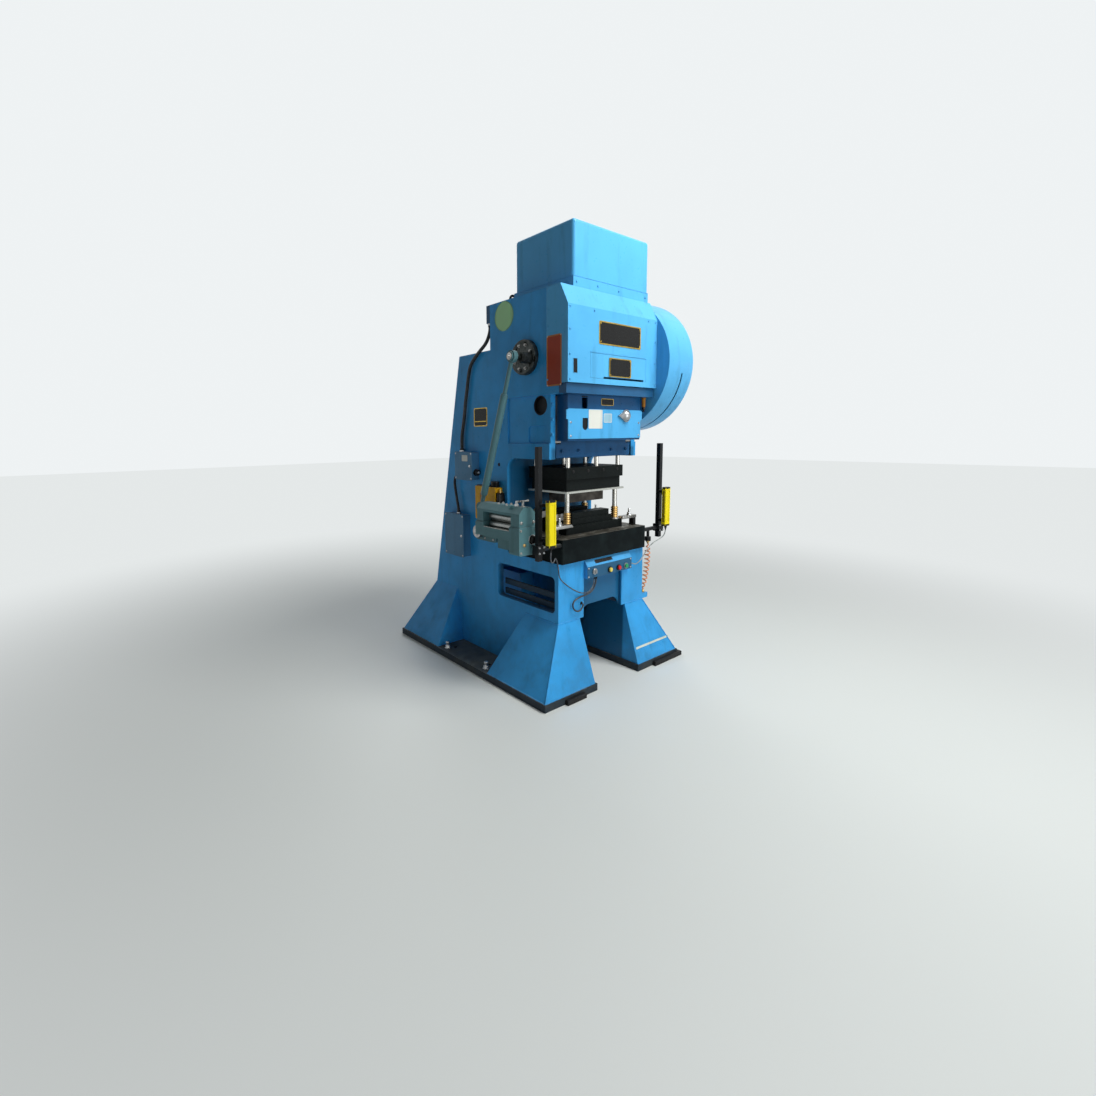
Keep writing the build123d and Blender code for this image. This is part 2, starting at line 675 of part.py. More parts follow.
def crown_front_cover():
    """Bent sheet cover round the front of the crown, with a bevelled top edge, vent slot and hatch opening."""
    outer = [
        (COVER_FRONT, COVER_LOW), (COVER_FRONT, COVER_BEVEL_Z), (COVER_BEVEL_BACK, CROWN_TOP),
        (COVER_BACK, CROWN_TOP), (COVER_BACK, COVER_LOW),
    ]
    inner = [
        (COVER_FRONT + SHEET_T, COVER_LOW - 1), (COVER_FRONT + SHEET_T, COVER_BEVEL_Z - SHEET_T / 2),
        (COVER_BEVEL_BACK + SHEET_T / 2, CROWN_TOP - SHEET_T), (0, CROWN_TOP - SHEET_T),
        (0, CROWN_TOP + 1), (COVER_BACK + 1, CROWN_TOP + 1), (COVER_BACK + 1, COVER_LOW - 1),
    ]
    cover = slab_yz(outer, -HALF_WIDTH - SHEET_T, HALF_WIDTH + SHEET_T)
    cover -= slab_yz(inner, -HALF_WIDTH, HALF_WIDTH)
    y0, y1 = COVER_FRONT - 1, COVER_FRONT + SHEET_T + 1
    cover -= block(HATCH_LEFT, HATCH_RIGHT, y0, y1, HATCH_LOW, HATCH_TOP)
    vent = VENT_SLOT_W / 2
    cover -= block(VENT_SLOT_X - vent, VENT_SLOT_X + vent, y0, y1, VENT_SLOT_LOW, VENT_SLOT_HIGH)
    return cover


def cover_hatch():
    """Flap in the crown cover, hinged along its top edge, with a finger slot cut in its lower edge."""
    y0, y1 = COVER_FRONT, COVER_FRONT + SHEET_T
    left, right = HATCH_LEFT + HATCH_GAP, HATCH_RIGHT - HATCH_GAP
    flap = block(left, right, y0, y1, HATCH_LOW + HATCH_GAP, HATCH_TOP - SEAT_GAP)
    slot = block(FINGER_SLOT_LEFT, FINGER_SLOT_RIGHT, y0 - 1, y1 + 1, HATCH_LOW - 1, HATCH_LOW + FINGER_SLOT_H)
    barrel = bar_x(SHEET_T / 2, left, right, y0, HATCH_TOP - SEAT_GAP - SHEET_T / 2)
    return flap - slot + barrel


def roof_base():
    """Folded frame that the hood stands on."""
    ring = block(ROOF_LEFT, ROOF_RIGHT, ROOF_FRONT, ROOF_BACK, CROWN_TOP, ROOF_SEAM)
    inside = block(ROOF_LEFT + SHEET_T, ROOF_RIGHT - SHEET_T, ROOF_FRONT + SHEET_T, ROOF_BACK - SHEET_T,
                   CROWN_TOP - 1, ROOF_SEAM + 1)
    return ring - inside


def soft_box(box, radius):
    """Box with its upright and top edges rounded alike."""
    edges = box.edges().filter_by(Axis.Z) + box.edges().group_by(Axis.Z)[-1]
    return fillet(edges, radius)


def roof_hood():
    """Sheet hood on the roof, its top edges rounded, open below."""
    back = ROOF_BACK - HOOD_BACK_STEP
    outer = block(ROOF_LEFT, ROOF_RIGHT, ROOF_FRONT, back, ROOF_SEAM, ROOF_TOP)
    inside = block(ROOF_LEFT + HOOD_SHEET, ROOF_RIGHT - HOOD_SHEET, ROOF_FRONT + HOOD_SHEET, back - HOOD_SHEET,
                   ROOF_SEAM - 1, ROOF_TOP - HOOD_SHEET)
    return soft_box(outer, ROOF_R) - soft_box(inside, ROOF_R - HOOD_SHEET)


def main_bushes():
    """Flanged bronze bushes of the crankshaft, one in each side plate."""
    bushes = []
    inner = HALF_WIDTH - PLATE_T
    for side in (-1, 1):
        x0, x1 = sorted((side * inner, side * HALF_WIDTH))
        f0, f1 = sorted((side * (inner - BUSH_FLANGE_T), side * inner))
        bush = bar_x(BUSH_R, x0, x1, CRANK_Y, CRANK_Z) + bar_x(BUSH_FLANGE_R, f0, f1, CRANK_Y, CRANK_Z)
        bush -= bar_x(JOURNAL_R + RUN_FIT, -HALF_WIDTH - 1, HALF_WIDTH + 1, CRANK_Y, CRANK_Z)
        bushes.append(bush)
    return bushes


def crankshaft():
    """Forged shaft: long journals, two cheeks and the eccentric between them, at the top of its turn."""
    left = -HALF_WIDTH - DISC_GAP
    shaft = bar_x(JOURNAL_R, left, CLUTCH_END, CRANK_Y, CRANK_Z)
    shaft += bar_x(ECCENTRIC_R, -ECCENTRIC_W / 2, ECCENTRIC_W / 2, CRANK_Y, CRANK_Z + CRANK_THROW)
    for side in (-1, 1):
        x0, x1 = sorted((side * ECCENTRIC_W / 2, side * (ECCENTRIC_W / 2 + CHEEK_W)))
        cheek = bar_x(CHEEK_R, x0, x1, CRANK_Y, CRANK_Z)
        shaft += chamfer(cheek.edges().filter_by(GeomType.CIRCLE), SHAFT_CHAMFER)
    return shaft


def connecting_rod():
    """Forged rod: split big end round the eccentric, with cap bolts, and a threaded shank."""
    z = CRANK_Z + CRANK_THROW
    rod = bar_x(ROD_BIG_R, -ROD_WIDTH / 2, ROD_WIDTH / 2, CRANK_Y, z)
    rod += bar_z(ROD_SHANK_R, 0, CRANK_Y, z - ROD_LENGTH + ROD_SOCKET_Z, z)
    for side in (-1, 1):
        for y in (CRANK_Y - ROD_BIG_R + ROD_BOLT_R, CRANK_Y + ROD_BIG_R - ROD_BOLT_R):
            rod += bar_z(ROD_BOSS_R, side * ROD_BOLT_X, y, z - ROD_SHANK_R, z + ROD_SHANK_R)
            head = Pos(side * ROD_BOLT_X, y, z + ROD_SHANK_R) * RegularPolygon(ROD_BOLT_R, 6)
            rod += extrude(head, ROD_BOLT_R)
    rod -= bar_x(ECCENTRIC_R + RUN_FIT, -ROD_WIDTH, ROD_WIDTH, CRANK_Y, z)
    return rod


def ball_screw():
    """Screw that sets the shut height, turned with a ball that carries the slide, and its lock nut."""
    ball_z = CRANK_Z + CRANK_THROW - ROD_LENGTH
    shank_end = ball_z + ROD_SOCKET_Z
    ball = Pos(0, CRANK_Y, ball_z) * Sphere(BALL_R)
    screw = bar_z(SCREW_R, 0, CRANK_Y, ball_z, shank_end)
    nut = extrude(Pos(0, CRANK_Y, shank_end - SCREW_NUT_H) * RegularPolygon(SCREW_NUT_R, 6), SCREW_NUT_H)
    return ball + screw + nut


def slide():
    """Cast slide: wide foot, body notched at its corners for the gibs, and a deep well for the ball screw."""
    foot = block(-SLIDE_HALF, SLIDE_HALF, SLIDE_FRONT, SLIDE_BACK, SLIDE_BOTTOM, SLIDE_FLANGE_TOP)
    foot = chamfer(foot.edges().group_by(Axis.Z)[0], SLIDE_CHAMFER)
    body = block(-SLIDE_HALF, SLIDE_HALF, SLIDE_FRONT, SLIDE_BACK, SLIDE_FLANGE_TOP, SLIDE_TOP)
    for x in (-SLIDE_HALF, SLIDE_HALF):
        for y in (SLIDE_FRONT, SLIDE_BACK):
            notch = GIB_SIZE - (HALF_WIDTH - PLATE_T - SLIDE_HALF) + GIB_FIT
            depth = GIB_SIZE - GIB_FIT
            body -= block(x - notch, x + notch, y - depth, y + depth, SLIDE_FLANGE_TOP, SLIDE_TOP + 1)
    reach = CRANK_THROW + BALL_R + WELL_MARGIN
    floor = SLIDE_BOTTOM + SLIDE_FLOOR
    well = block(-WELL_HALF_X, WELL_HALF_X, CRANK_Y - reach, CRANK_Y + reach, floor, SLIDE_TOP + 1)
    return foot + body - rounded_edges(well, Axis.Z, WELL_MARGIN * 4)


def slide_gibs():
    """Four square gibs on the side plates, in the slide's corner notches."""
    gibs = []
    inner = HALF_WIDTH - PLATE_T
    for side in (-1, 1):
        x0, x1 = sorted((side * (inner - GIB_SIZE), side * inner))
        front = SLIDE_FRONT - 2 * GIB_FIT
        back = SLIDE_BACK + 2 * GIB_FIT
        gibs.append(block(x0, x1, front, front + GIB_SIZE, GIB_LOW, GIB_HIGH))
        gibs.append(block(x0, x1, back - GIB_SIZE, back, GIB_LOW, GIB_HIGH))
    return gibs


def slide_housing():
    """Box of plate on the front gibs that closes the front of the slide guide, with the upper hand slot."""
    back = SLIDE_FRONT - 2 * GIB_FIT
    box = block(-HOUSING_HALF, HOUSING_HALF, HOUSING_FRONT, back, HOUSING_LOW, CROWN_BOTTOM)
    inner = HOUSING_FRONT + HOUSING_T
    box -= block(-HOUSING_HALF + HOUSING_T, HOUSING_HALF - HOUSING_T, inner, back + 1,
                 HOUSING_LOW - 1, CROWN_BOTTOM - HOUSING_T)
    return box - slot_plug(GRIP_X, GRIP_HIGH_Z, GRIP_W, GRIP_H, HOUSING_FRONT - 1, inner + 1)


def slide_cover():
    """Plate with two ears screwed on the guide box, with the lower hand slot."""
    y0, y1 = HOUSING_FRONT - SLIDE_COVER_T, HOUSING_FRONT
    plate = block(-HOUSING_HALF, HOUSING_HALF, y0, y1, SLIDE_COVER_LOW, SLIDE_COVER_HIGH)
    ear_reach = HOUSING_HALF + EAR_W
    plate += block(-ear_reach, ear_reach, y0, y1, EAR_LOW, EAR_HIGH)
    plate -= bar_y(KNOB_R / 4 + CAP_FIT, KNOB_X, y0 - 1, y1 + 1, KNOB_Z)
    return plate - slot_plug(GRIP_X, GRIP_LOW_Z, GRIP_W, GRIP_H, y0 - 1, y1 + 1)


def cover_knob():
    """Polished domed latch with a pointed thumb piece, turning on a stem through the slide cover."""
    front = HOUSING_FRONT - SLIDE_COVER_T - SEAT_GAP
    sketch = Circle(KNOB_R) + Polygon((-KNOB_TIP, 0), (0, KNOB_POINT_HALF), (0, -KNOB_POINT_HALF), align=None)
    base = extrude(Plane.XZ.offset(-front) * sketch, amount=KNOB_H / 3, dir=(0, -1, 0))
    base = Pos(KNOB_X, 0, KNOB_Z) * base
    radius = (KNOB_R ** 2 + KNOB_H ** 2) / (2 * KNOB_H)
    ball = Pos(KNOB_X, front - KNOB_H + radius, KNOB_Z) * Sphere(radius)
    dome = ball & bar_y(KNOB_R, KNOB_X, front - KNOB_H - 1, front - KNOB_H / 3 + 1, KNOB_Z)
    stem = bar_y(KNOB_R / 4, KNOB_X, front - 1, HOUSING_FRONT - SEAT_GAP, KNOB_Z)
    return base + dome + stem


def bolster():
    """Thick bolster plate with tapped holes for die clamps."""
    plate = block(-BOLSTER_HALF, BOLSTER_HALF, BOLSTER_FRONT, BOLSTER_BACK, TABLE_TOP, BOLSTER_TOP)
    plate = chamfer(plate.edges().filter_by(Axis.Z), BOLSTER_CHAMFER)
    for x in (-CLAMP_HOLE_X, CLAMP_HOLE_X):
        for y in (CLAMP_HOLE_FRONT, CLAMP_HOLE_BACK):
            plate -= bar_z(CLAMP_HOLE_R, x, y, BOLSTER_TOP - CLAMP_HOLE_DEPTH, BOLSTER_TOP + 1)
    return plate


def post_places():
    """X and Y of the die set's guide posts."""
    return [(x, y) for x in (-POST_X, POST_X) for y in (DIE_FRONT + POST_INSET, DIE_BACK - POST_INSET)]


def lower_die_shoe():
    """Lower shoe of the die set, bored for its posts."""
    shoe = block(-DIE_HALF, DIE_HALF, DIE_FRONT, DIE_BACK, BOLSTER_TOP, BOLSTER_TOP + LOWER_SHOE_T)
    for x, y in post_places():
        shoe -= bar_z(POST_R, x, y, BOLSTER_TOP - 1, BOLSTER_TOP + LOWER_SHOE_T + 1)
    return shoe


def lower_die_block():
    """Die block with a shallow channel for the strip along X."""
    y0, y1 = DIE_FRONT + DIE_BLOCK_MARGIN, DIE_BACK - DIE_BLOCK_MARGIN
    low = BOLSTER_TOP + LOWER_SHOE_T
    lower = block(-DIE_BLOCK_HALF, DIE_BLOCK_HALF, y0, y1, low, (low + DIE_BLOCK_TOP) / 2)
    upper = block(-DIE_BLOCK_HALF + SHOE_STEP, DIE_BLOCK_HALF - SHOE_STEP, y0 + SHOE_STEP, y1 - SHOE_STEP,
                  (low + DIE_BLOCK_TOP) / 2, DIE_BLOCK_TOP)
    middle = (y0 + y1) / 2
    channel = block(-DIE_BLOCK_HALF, DIE_BLOCK_HALF, middle - DIE_SLOT_W, middle + DIE_SLOT_W,
                    DIE_BLOCK_TOP - DIE_SLOT_H, DIE_BLOCK_TOP + 1)
    return lower + upper - channel


def guide_posts():
    """Ground guide posts pressed into the lower shoe."""
    posts = []
    for x, y in post_places():
        post = bar_z(POST_R, x, y, BOLSTER_TOP, POST_TOP)
        posts.append(chamfer(post.edges().group_by(Axis.Z)[-1], POST_CHAMFER))
    return posts


def post_springs():
    """Spring sleeves round the posts, drawn as a stack of round coils on a thin tube."""
    springs = []
    low = BOLSTER_TOP + LOWER_SHOE_T
    pitch = CAGE_H / CAGE_TURNS
    for x, y in post_places():
        sleeve = bar_z(CAGE_R - CAGE_WIRE, x, y, low, low + CAGE_H)
        for turn in range(CAGE_TURNS):
            coil = bar_z(CAGE_R, x, y, low + pitch * turn + 1, low + pitch * (turn + 1) - CAGE_WIRE)
            sleeve += chamfer(coil.edges().filter_by(GeomType.CIRCLE), CAGE_WIRE / 2)
        springs.append(sleeve - bar_z(POST_R + SEAT_GAP, x, y, low - 1, low + CAGE_H + 1))
    return springs


def upper_die_shoe():
    """Upper shoe with guide bushes for the posts."""
    step = (UPPER_SHOE_LOW + UPPER_SHOE_TOP) / 2
    shoe = block(-DIE_HALF, DIE_HALF, DIE_FRONT, DIE_BACK, step, UPPER_SHOE_TOP)
    shoe += block(-DIE_HALF + SHOE_STEP, DIE_HALF - SHOE_STEP, DIE_FRONT + SHOE_STEP, DIE_BACK - SHOE_STEP,
                  UPPER_SHOE_LOW, step)
    for x, y in post_places():
        shoe -= bar_z(POST_R + RUN_FIT, x, y, UPPER_SHOE_LOW - 1, UPPER_SHOE_TOP + 1)
    return shoe


def punch_plate():
    """Bright stripper plate with the punch block under it, which stops just above the die block."""
    plate = block(-DIE_HALF - STRIPPER_PROUD, DIE_HALF + STRIPPER_PROUD, DIE_FRONT - STRIPPER_PROUD,
                  DIE_BACK + STRIPPER_PROUD, STRIPPER_Z, UPPER_SHOE_LOW)
    middle = (DIE_FRONT + DIE_BACK) / 2
    low = DIE_BLOCK_TOP + SLIDE_STROKE + PUNCH_CLOSED_GAP
    plate += block(-PUNCH_HALF, PUNCH_HALF, middle - PUNCH_DEPTH / 2, middle + PUNCH_DEPTH / 2, low, STRIPPER_Z)
    for x, y in post_places():
        plate -= bar_z(DIE_BUSH_R, x, y, STRIPPER_Z - 1, UPPER_SHOE_LOW + 1)
    return plate


def die_risers():
    """Round risers that carry the upper shoe under the slide."""
    places = [(x, y) for x in RISER_X for y in (DIE_FRONT + RISER_INSET, DIE_BACK - RISER_INSET)]
    return [bar_z(RISER_R, x, y, UPPER_SHOE_TOP, SLIDE_BOTTOM) for x, y in places]


def flywheel():
    """Cast flywheel: heavy rim, thin web with lightening holes, and a hub that runs on the crankshaft."""
    x0, x1 = FLYWHEEL_IN, FLYWHEEL_OUT
    middle = (x0 + x1) / 2
    wheel = bar_x(FLYWHEEL_R, x0, x1, CRANK_Y, CRANK_Z)
    inside = FLYWHEEL_R - FLYWHEEL_RIM
    for a, b in ((x0 - 1, middle - FLYWHEEL_WEB / 2), (middle + FLYWHEEL_WEB / 2, x1 + 1)):
        wheel -= bar_x(inside, a, b, CRANK_Y, CRANK_Z)
    wheel += bar_x(FLYWHEEL_HUB_R, x0, x1, CRANK_Y, CRANK_Z)
    hole_circle = (inside + FLYWHEEL_HUB_R) / 2
    hole_r = (inside - FLYWHEEL_HUB_R) / 4
    for k in range(6):
        angle = math.radians(60 * k)
        y, z = CRANK_Y + hole_circle * math.cos(angle), CRANK_Z + hole_circle * math.sin(angle)
        wheel -= bar_x(hole_r, x0, x1, y, z)
    return wheel - bar_x(JOURNAL_R + RUN_FIT, x0 - 1, x1 + 1, CRANK_Y, CRANK_Z)


def clutch_unit():
    """Air clutch and brake drum keyed on the shaft's end, with ribs and an end cap."""
    unit = bar_x(CLUTCH_R, CLUTCH_START, CLUTCH_END - CLUTCH_W / 3, CRANK_Y, CRANK_Z)
    unit += bar_x(CLUTCH_STEP_R, CLUTCH_END - CLUTCH_W / 3, CLUTCH_END, CRANK_Y, CRANK_Z)
    unit -= bar_x(JOURNAL_R, CLUTCH_START - 1, CLUTCH_END, CRANK_Y, CRANK_Z)
    return unit + bar_x(CLUTCH_CAP_R, CLUTCH_END, CLUTCH_END + CLUTCH_CAP_W, CRANK_Y, CRANK_Z)


def belt_outline(r1, r2, x0, x1):
    """Solid inside a belt line round the flywheel and the motor pulley."""
    span = math.hypot(PULLEY_Y - CRANK_Y, PULLEY_Z - CRANK_Z)
    lean = math.atan2(PULLEY_Z - CRANK_Z, PULLEY_Y - CRANK_Y)
    open_angle = math.acos((r1 - r2) / span)
    points = []
    for cy, cz, r in ((CRANK_Y, CRANK_Z, r1), (PULLEY_Y, PULLEY_Z, r2)):
        for way in (-1, 1):
            angle = lean + way * open_angle
            points.append((cy + r * math.cos(angle), cz + r * math.sin(angle)))
    quad = [points[0], points[2], points[3], points[1]]
    solid = slab_yz(quad, x0, x1)
    solid += bar_x(r1, x0, x1, CRANK_Y, CRANK_Z)
    return solid + bar_x(r2, x0, x1, PULLEY_Y, PULLEY_Z)


def drive_belt():
    """Wide flat-backed belt from the motor pulley to the flywheel's rim."""
    middle = (FLYWHEEL_IN + FLYWHEEL_OUT) / 2
    x0, x1 = middle - BELT_W / 2, middle + BELT_W / 2
    outer = belt_outline(FLYWHEEL_R + SEAT_GAP + BELT_T, PULLEY_R + SEAT_GAP + BELT_T, x0, x1)
    return outer - belt_outline(FLYWHEEL_R + SEAT_GAP, PULLEY_R + SEAT_GAP, x0 - 1, x1 + 1)


def drive_pulley():
    """Motor pulley with two flanges, on its shaft."""
    middle = (FLYWHEEL_IN + FLYWHEEL_OUT) / 2
    x0, x1 = middle - BELT_W / 2 - BELT_SIDE_GAP, middle + BELT_W / 2 + BELT_SIDE_GAP
    pulley = bar_x(PULLEY_R, x0, x1, PULLEY_Y, PULLEY_Z)
    for a, b in ((x0 - BELT_T, x0), (x1, x1 + BELT_T)):
        pulley += bar_x(PULLEY_R + BELT_T, a, b, PULLEY_Y, PULLEY_Z)
    return pulley + bar_x(MOTOR_SHAFT_R, MOTOR_RIGHT + SEAT_GAP, x1 + BELT_T, PULLEY_Y, PULLEY_Z)


def drive_motor():
    """Finned motor on the shoulder of the column, with end shields, feet and terminal box."""
    body = bar_x(MOTOR_R, MOTOR_LEFT, MOTOR_RIGHT, PULLEY_Y, PULLEY_Z)
    fin_left, fin_right = MOTOR_LEFT + MOTOR_FAN_END, MOTOR_RIGHT - MOTOR_DRIVE_END
    for k in range(MOTOR_FIN_COUNT):
        angle = 360 * (k + 0.5) / MOTOR_FIN_COUNT
        fin = Pos(0, 0, MOTOR_R + MOTOR_FIN_H / 2 - 1) * Box(fin_right - fin_left, MOTOR_FIN_T, MOTOR_FIN_H + 2)
        body += Pos((fin_left + fin_right) / 2, PULLEY_Y, PULLEY_Z) * Rot(angle, 0, 0) * fin
    for y in (PULLEY_Y - MOTOR_R, PULLEY_Y + MOTOR_R - MOTOR_FOOT_T * 2):
        body += block(fin_left, fin_right, y, y + MOTOR_FOOT_T * 2, SHOULDER_Z, PULLEY_Z - MOTOR_R / 2)
    middle = (fin_left + fin_right) / 2
    return body + block(middle - TERMINAL_L / 2, middle + TERMINAL_L / 2, PULLEY_Y - TERMINAL_W / 2,
                        PULLEY_Y + TERMINAL_W / 2, PULLEY_Z + MOTOR_R - MOTOR_FIN_H, PULLEY_Z + MOTOR_R + TERMINAL_H)


def flywheel_guard():
    """Welded sheet drum round the flywheel with a tail over the belt, closed both sides, and a long rim slot."""
    drum = bar_x(GUARD_R, GUARD_IN, GUARD_OUT, CRANK_Y, CRANK_Z)
    drum = fillet(drum.edges().filter_by(GeomType.CIRCLE).sort_by(Axis.X)[-1], GUARD_EDGE_R)
    tail = belt_outline(GUARD_R - GUARD_EDGE_R, GUARD_TAIL_R, GUARD_IN, GUARD_TAIL_OUT)
    inner = bar_x(GUARD_R - GUARD_T, GUARD_IN + GUARD_T, GUARD_OUT - GUARD_T, CRANK_Y, CRANK_Z)
    inner = fillet(inner.edges().filter_by(GeomType.CIRCLE).sort_by(Axis.X)[-1], GUARD_EDGE_R - GUARD_T)
    inner_tail = belt_outline(GUARD_R - GUARD_EDGE_R - GUARD_T, GUARD_TAIL_R - GUARD_T, GUARD_IN + GUARD_T,
                              GUARD_TAIL_OUT - GUARD_T)
    guard = drum + tail - (inner + inner_tail)
    guard -= bar_x(GUARD_HOLE_R, GUARD_IN - 1, GUARD_IN + GUARD_T + 1, CRANK_Y, CRANK_Z)
    guard -= bar_x(MOTOR_SHAFT_R * 2, GUARD_IN - 1, GUARD_IN + GUARD_T + 1, PULLEY_Y, PULLEY_Z)
    return guard - rim_slot()


def rim_slot():
    """Sector that cuts the viewing slot along the guard's rim."""
    x0, x1 = RIM_SLOT_X - RIM_SLOT_W / 2, RIM_SLOT_X + RIM_SLOT_W / 2
    ring = bar_x(GUARD_R + 1, x0, x1, CRANK_Y, CRANK_Z) - bar_x(GUARD_R - GUARD_T - 1, x0 - 1, x1 + 1, CRANK_Y, CRANK_Z)
    reach = GUARD_R * 2
    angles = [math.radians(RIM_SLOT_START + (RIM_SLOT_END - RIM_SLOT_START) * k / 2) for k in range(3)]
    corners = [(CRANK_Y, CRANK_Z)]
    corners += [(CRANK_Y + reach * math.cos(a), CRANK_Z + reach * math.sin(a)) for a in angles]
    return ring & slab_yz(corners, x0 - 1, x1 + 1)


def feed_disc():
    """Crank disc on the shaft's left end: a slotted face, ring of bolts, and the set block with the feed pin."""
    x1 = -HALF_WIDTH - DISC_GAP
    x0 = x1 - DISC_T
    disc = bar_x(DISC_R, x0, x1, CRANK_Y, CRANK_Z)
    disc = chamfer(disc.edges().filter_by(GeomType.CIRCLE).sort_by(Axis.X)[0], SHAFT_CHAMFER)
    angle = math.degrees(math.atan2(FEED_PIN_Z - CRANK_Z, FEED_PIN_Y - CRANK_Y))
    turned = Pos(0, CRANK_Y, CRANK_Z) * Rot(angle, 0, 0)
    slot = Pos((x0 + x0 + DISC_SLOT_DEPTH) / 2 - 1, 0, 0) * Box(DISC_SLOT_DEPTH + 2, 2 * DISC_R, DISC_SLOT_W)
    disc -= turned * slot
    for k in range(6):
        spot = math.radians(angle + 30 + 60 * k)
        y, z = CRANK_Y + DISC_BOLT_CIRCLE * math.cos(spot), CRANK_Z + DISC_BOLT_CIRCLE * math.sin(spot)
        disc += bar_x(DISC_BOLT_R, x0 - DISC_BOLT_R, x0 + 1, y, z)
    radius = math.hypot(FEED_PIN_Z - CRANK_Z, FEED_PIN_Y - CRANK_Y)
    key = Pos(x0 + DISC_SLOT_DEPTH / 2, radius, 0) * Box(DISC_SLOT_DEPTH, FEED_BLOCK, DISC_SLOT_W)
    head = Pos((FEED_BLOCK_OUT + x0) / 2, radius, 0) * Box(x0 - FEED_BLOCK_OUT, FEED_BLOCK, FEED_BLOCK)
    disc += turned * (key + chamfer(head.edges().filter_by(Axis.X), DISC_SLOT_DEPTH))
    pin_end = FEED_PLANE - EYE_W / 2 + SEAT_GAP
    return disc + bar_x(FEED_PIN_R, pin_end, FEED_BLOCK_OUT, FEED_PIN_Y, FEED_PIN_Z)


def feed_rod():
    """Feed rod: tube between two threaded studs with an eye at each end."""
    top = Vector(FEED_PLANE, FEED_PIN_Y, FEED_PIN_Z)
    low = Vector(FEED_PLANE, FEED_ROD_LOW_Y, FEED_ROD_LOW_Z)
    line = low - top
    along = Plane(origin=top, z_dir=line)

    def stretch(radius, start, end):
        return extrude(along.offset(line.length * start) * Circle(radius), amount=line.length * (end - start))

    rod = stretch(FEED_STUD_R, 0, 1) + stretch(FEED_TUBE_R, TUBE_START, TUBE_END)
    nut = ROD_NUT_L / line.length
    rod += stretch(ROD_NUT_R, TUBE_START - nut, TUBE_START) + stretch(ROD_NUT_R, TUBE_END, TUBE_END + nut)
    for end in (top, low):
        rod += bar_x(EYE_R, FEED_PLANE - EYE_W / 2, FEED_PLANE + EYE_W / 2, end.Y, end.Z)
    rod -= bar_x(FEED_PIN_R + RUN_FIT, FEED_PLANE - EYE_W, FEED_PLANE + EYE_W, top.Y, top.Z)
    cap_x = FEED_PLANE - EYE_W / 2
    return rod + bar_x(EYE_CAP_R, cap_x - EYE_CAP_T, cap_x, top.Y, top.Z)


def feeder_arm():
    """Rocking arm on the feeder's cross shaft, with a pin towards the feed rod's lower eye."""
    x0 = FEED_PLANE + FEED_TUBE_R + OPEN_PIVOT_GAP
    x1 = x0 + ARM_T
    pin_end = FEED_PLANE + EYE_W / 2 + OPEN_PIVOT_GAP
    arm = bar_x(ARM_HUB_R, x0, x1, ARM_HUB_Y, ARM_HUB_Z)
    arm += bar_x(ARM_END_R, x0, x1, FEED_ROD_LOW_Y, FEED_ROD_LOW_Z)
    span = math.hypot(FEED_ROD_LOW_Y - ARM_HUB_Y, FEED_ROD_LOW_Z - ARM_HUB_Z)
    lean = math.degrees(math.atan2(FEED_ROD_LOW_Z - ARM_HUB_Z, FEED_ROD_LOW_Y - ARM_HUB_Y))
    web = Pos((x0 + x1) / 2, ARM_HUB_Y, ARM_HUB_Z) * Rot(lean, 0, 0) * Pos(0, span / 2, 0) * Box(ARM_T, span, ARM_END_R)
    arm += web + bar_x(ARM_PIN_R, pin_end, x0, FEED_ROD_LOW_Y, FEED_ROD_LOW_Z)
    return arm + bar_x(ARM_SHAFT_R, x1, GEARBOX_LEFT - SEAT_GAP, ARM_HUB_Y, ARM_HUB_Z)


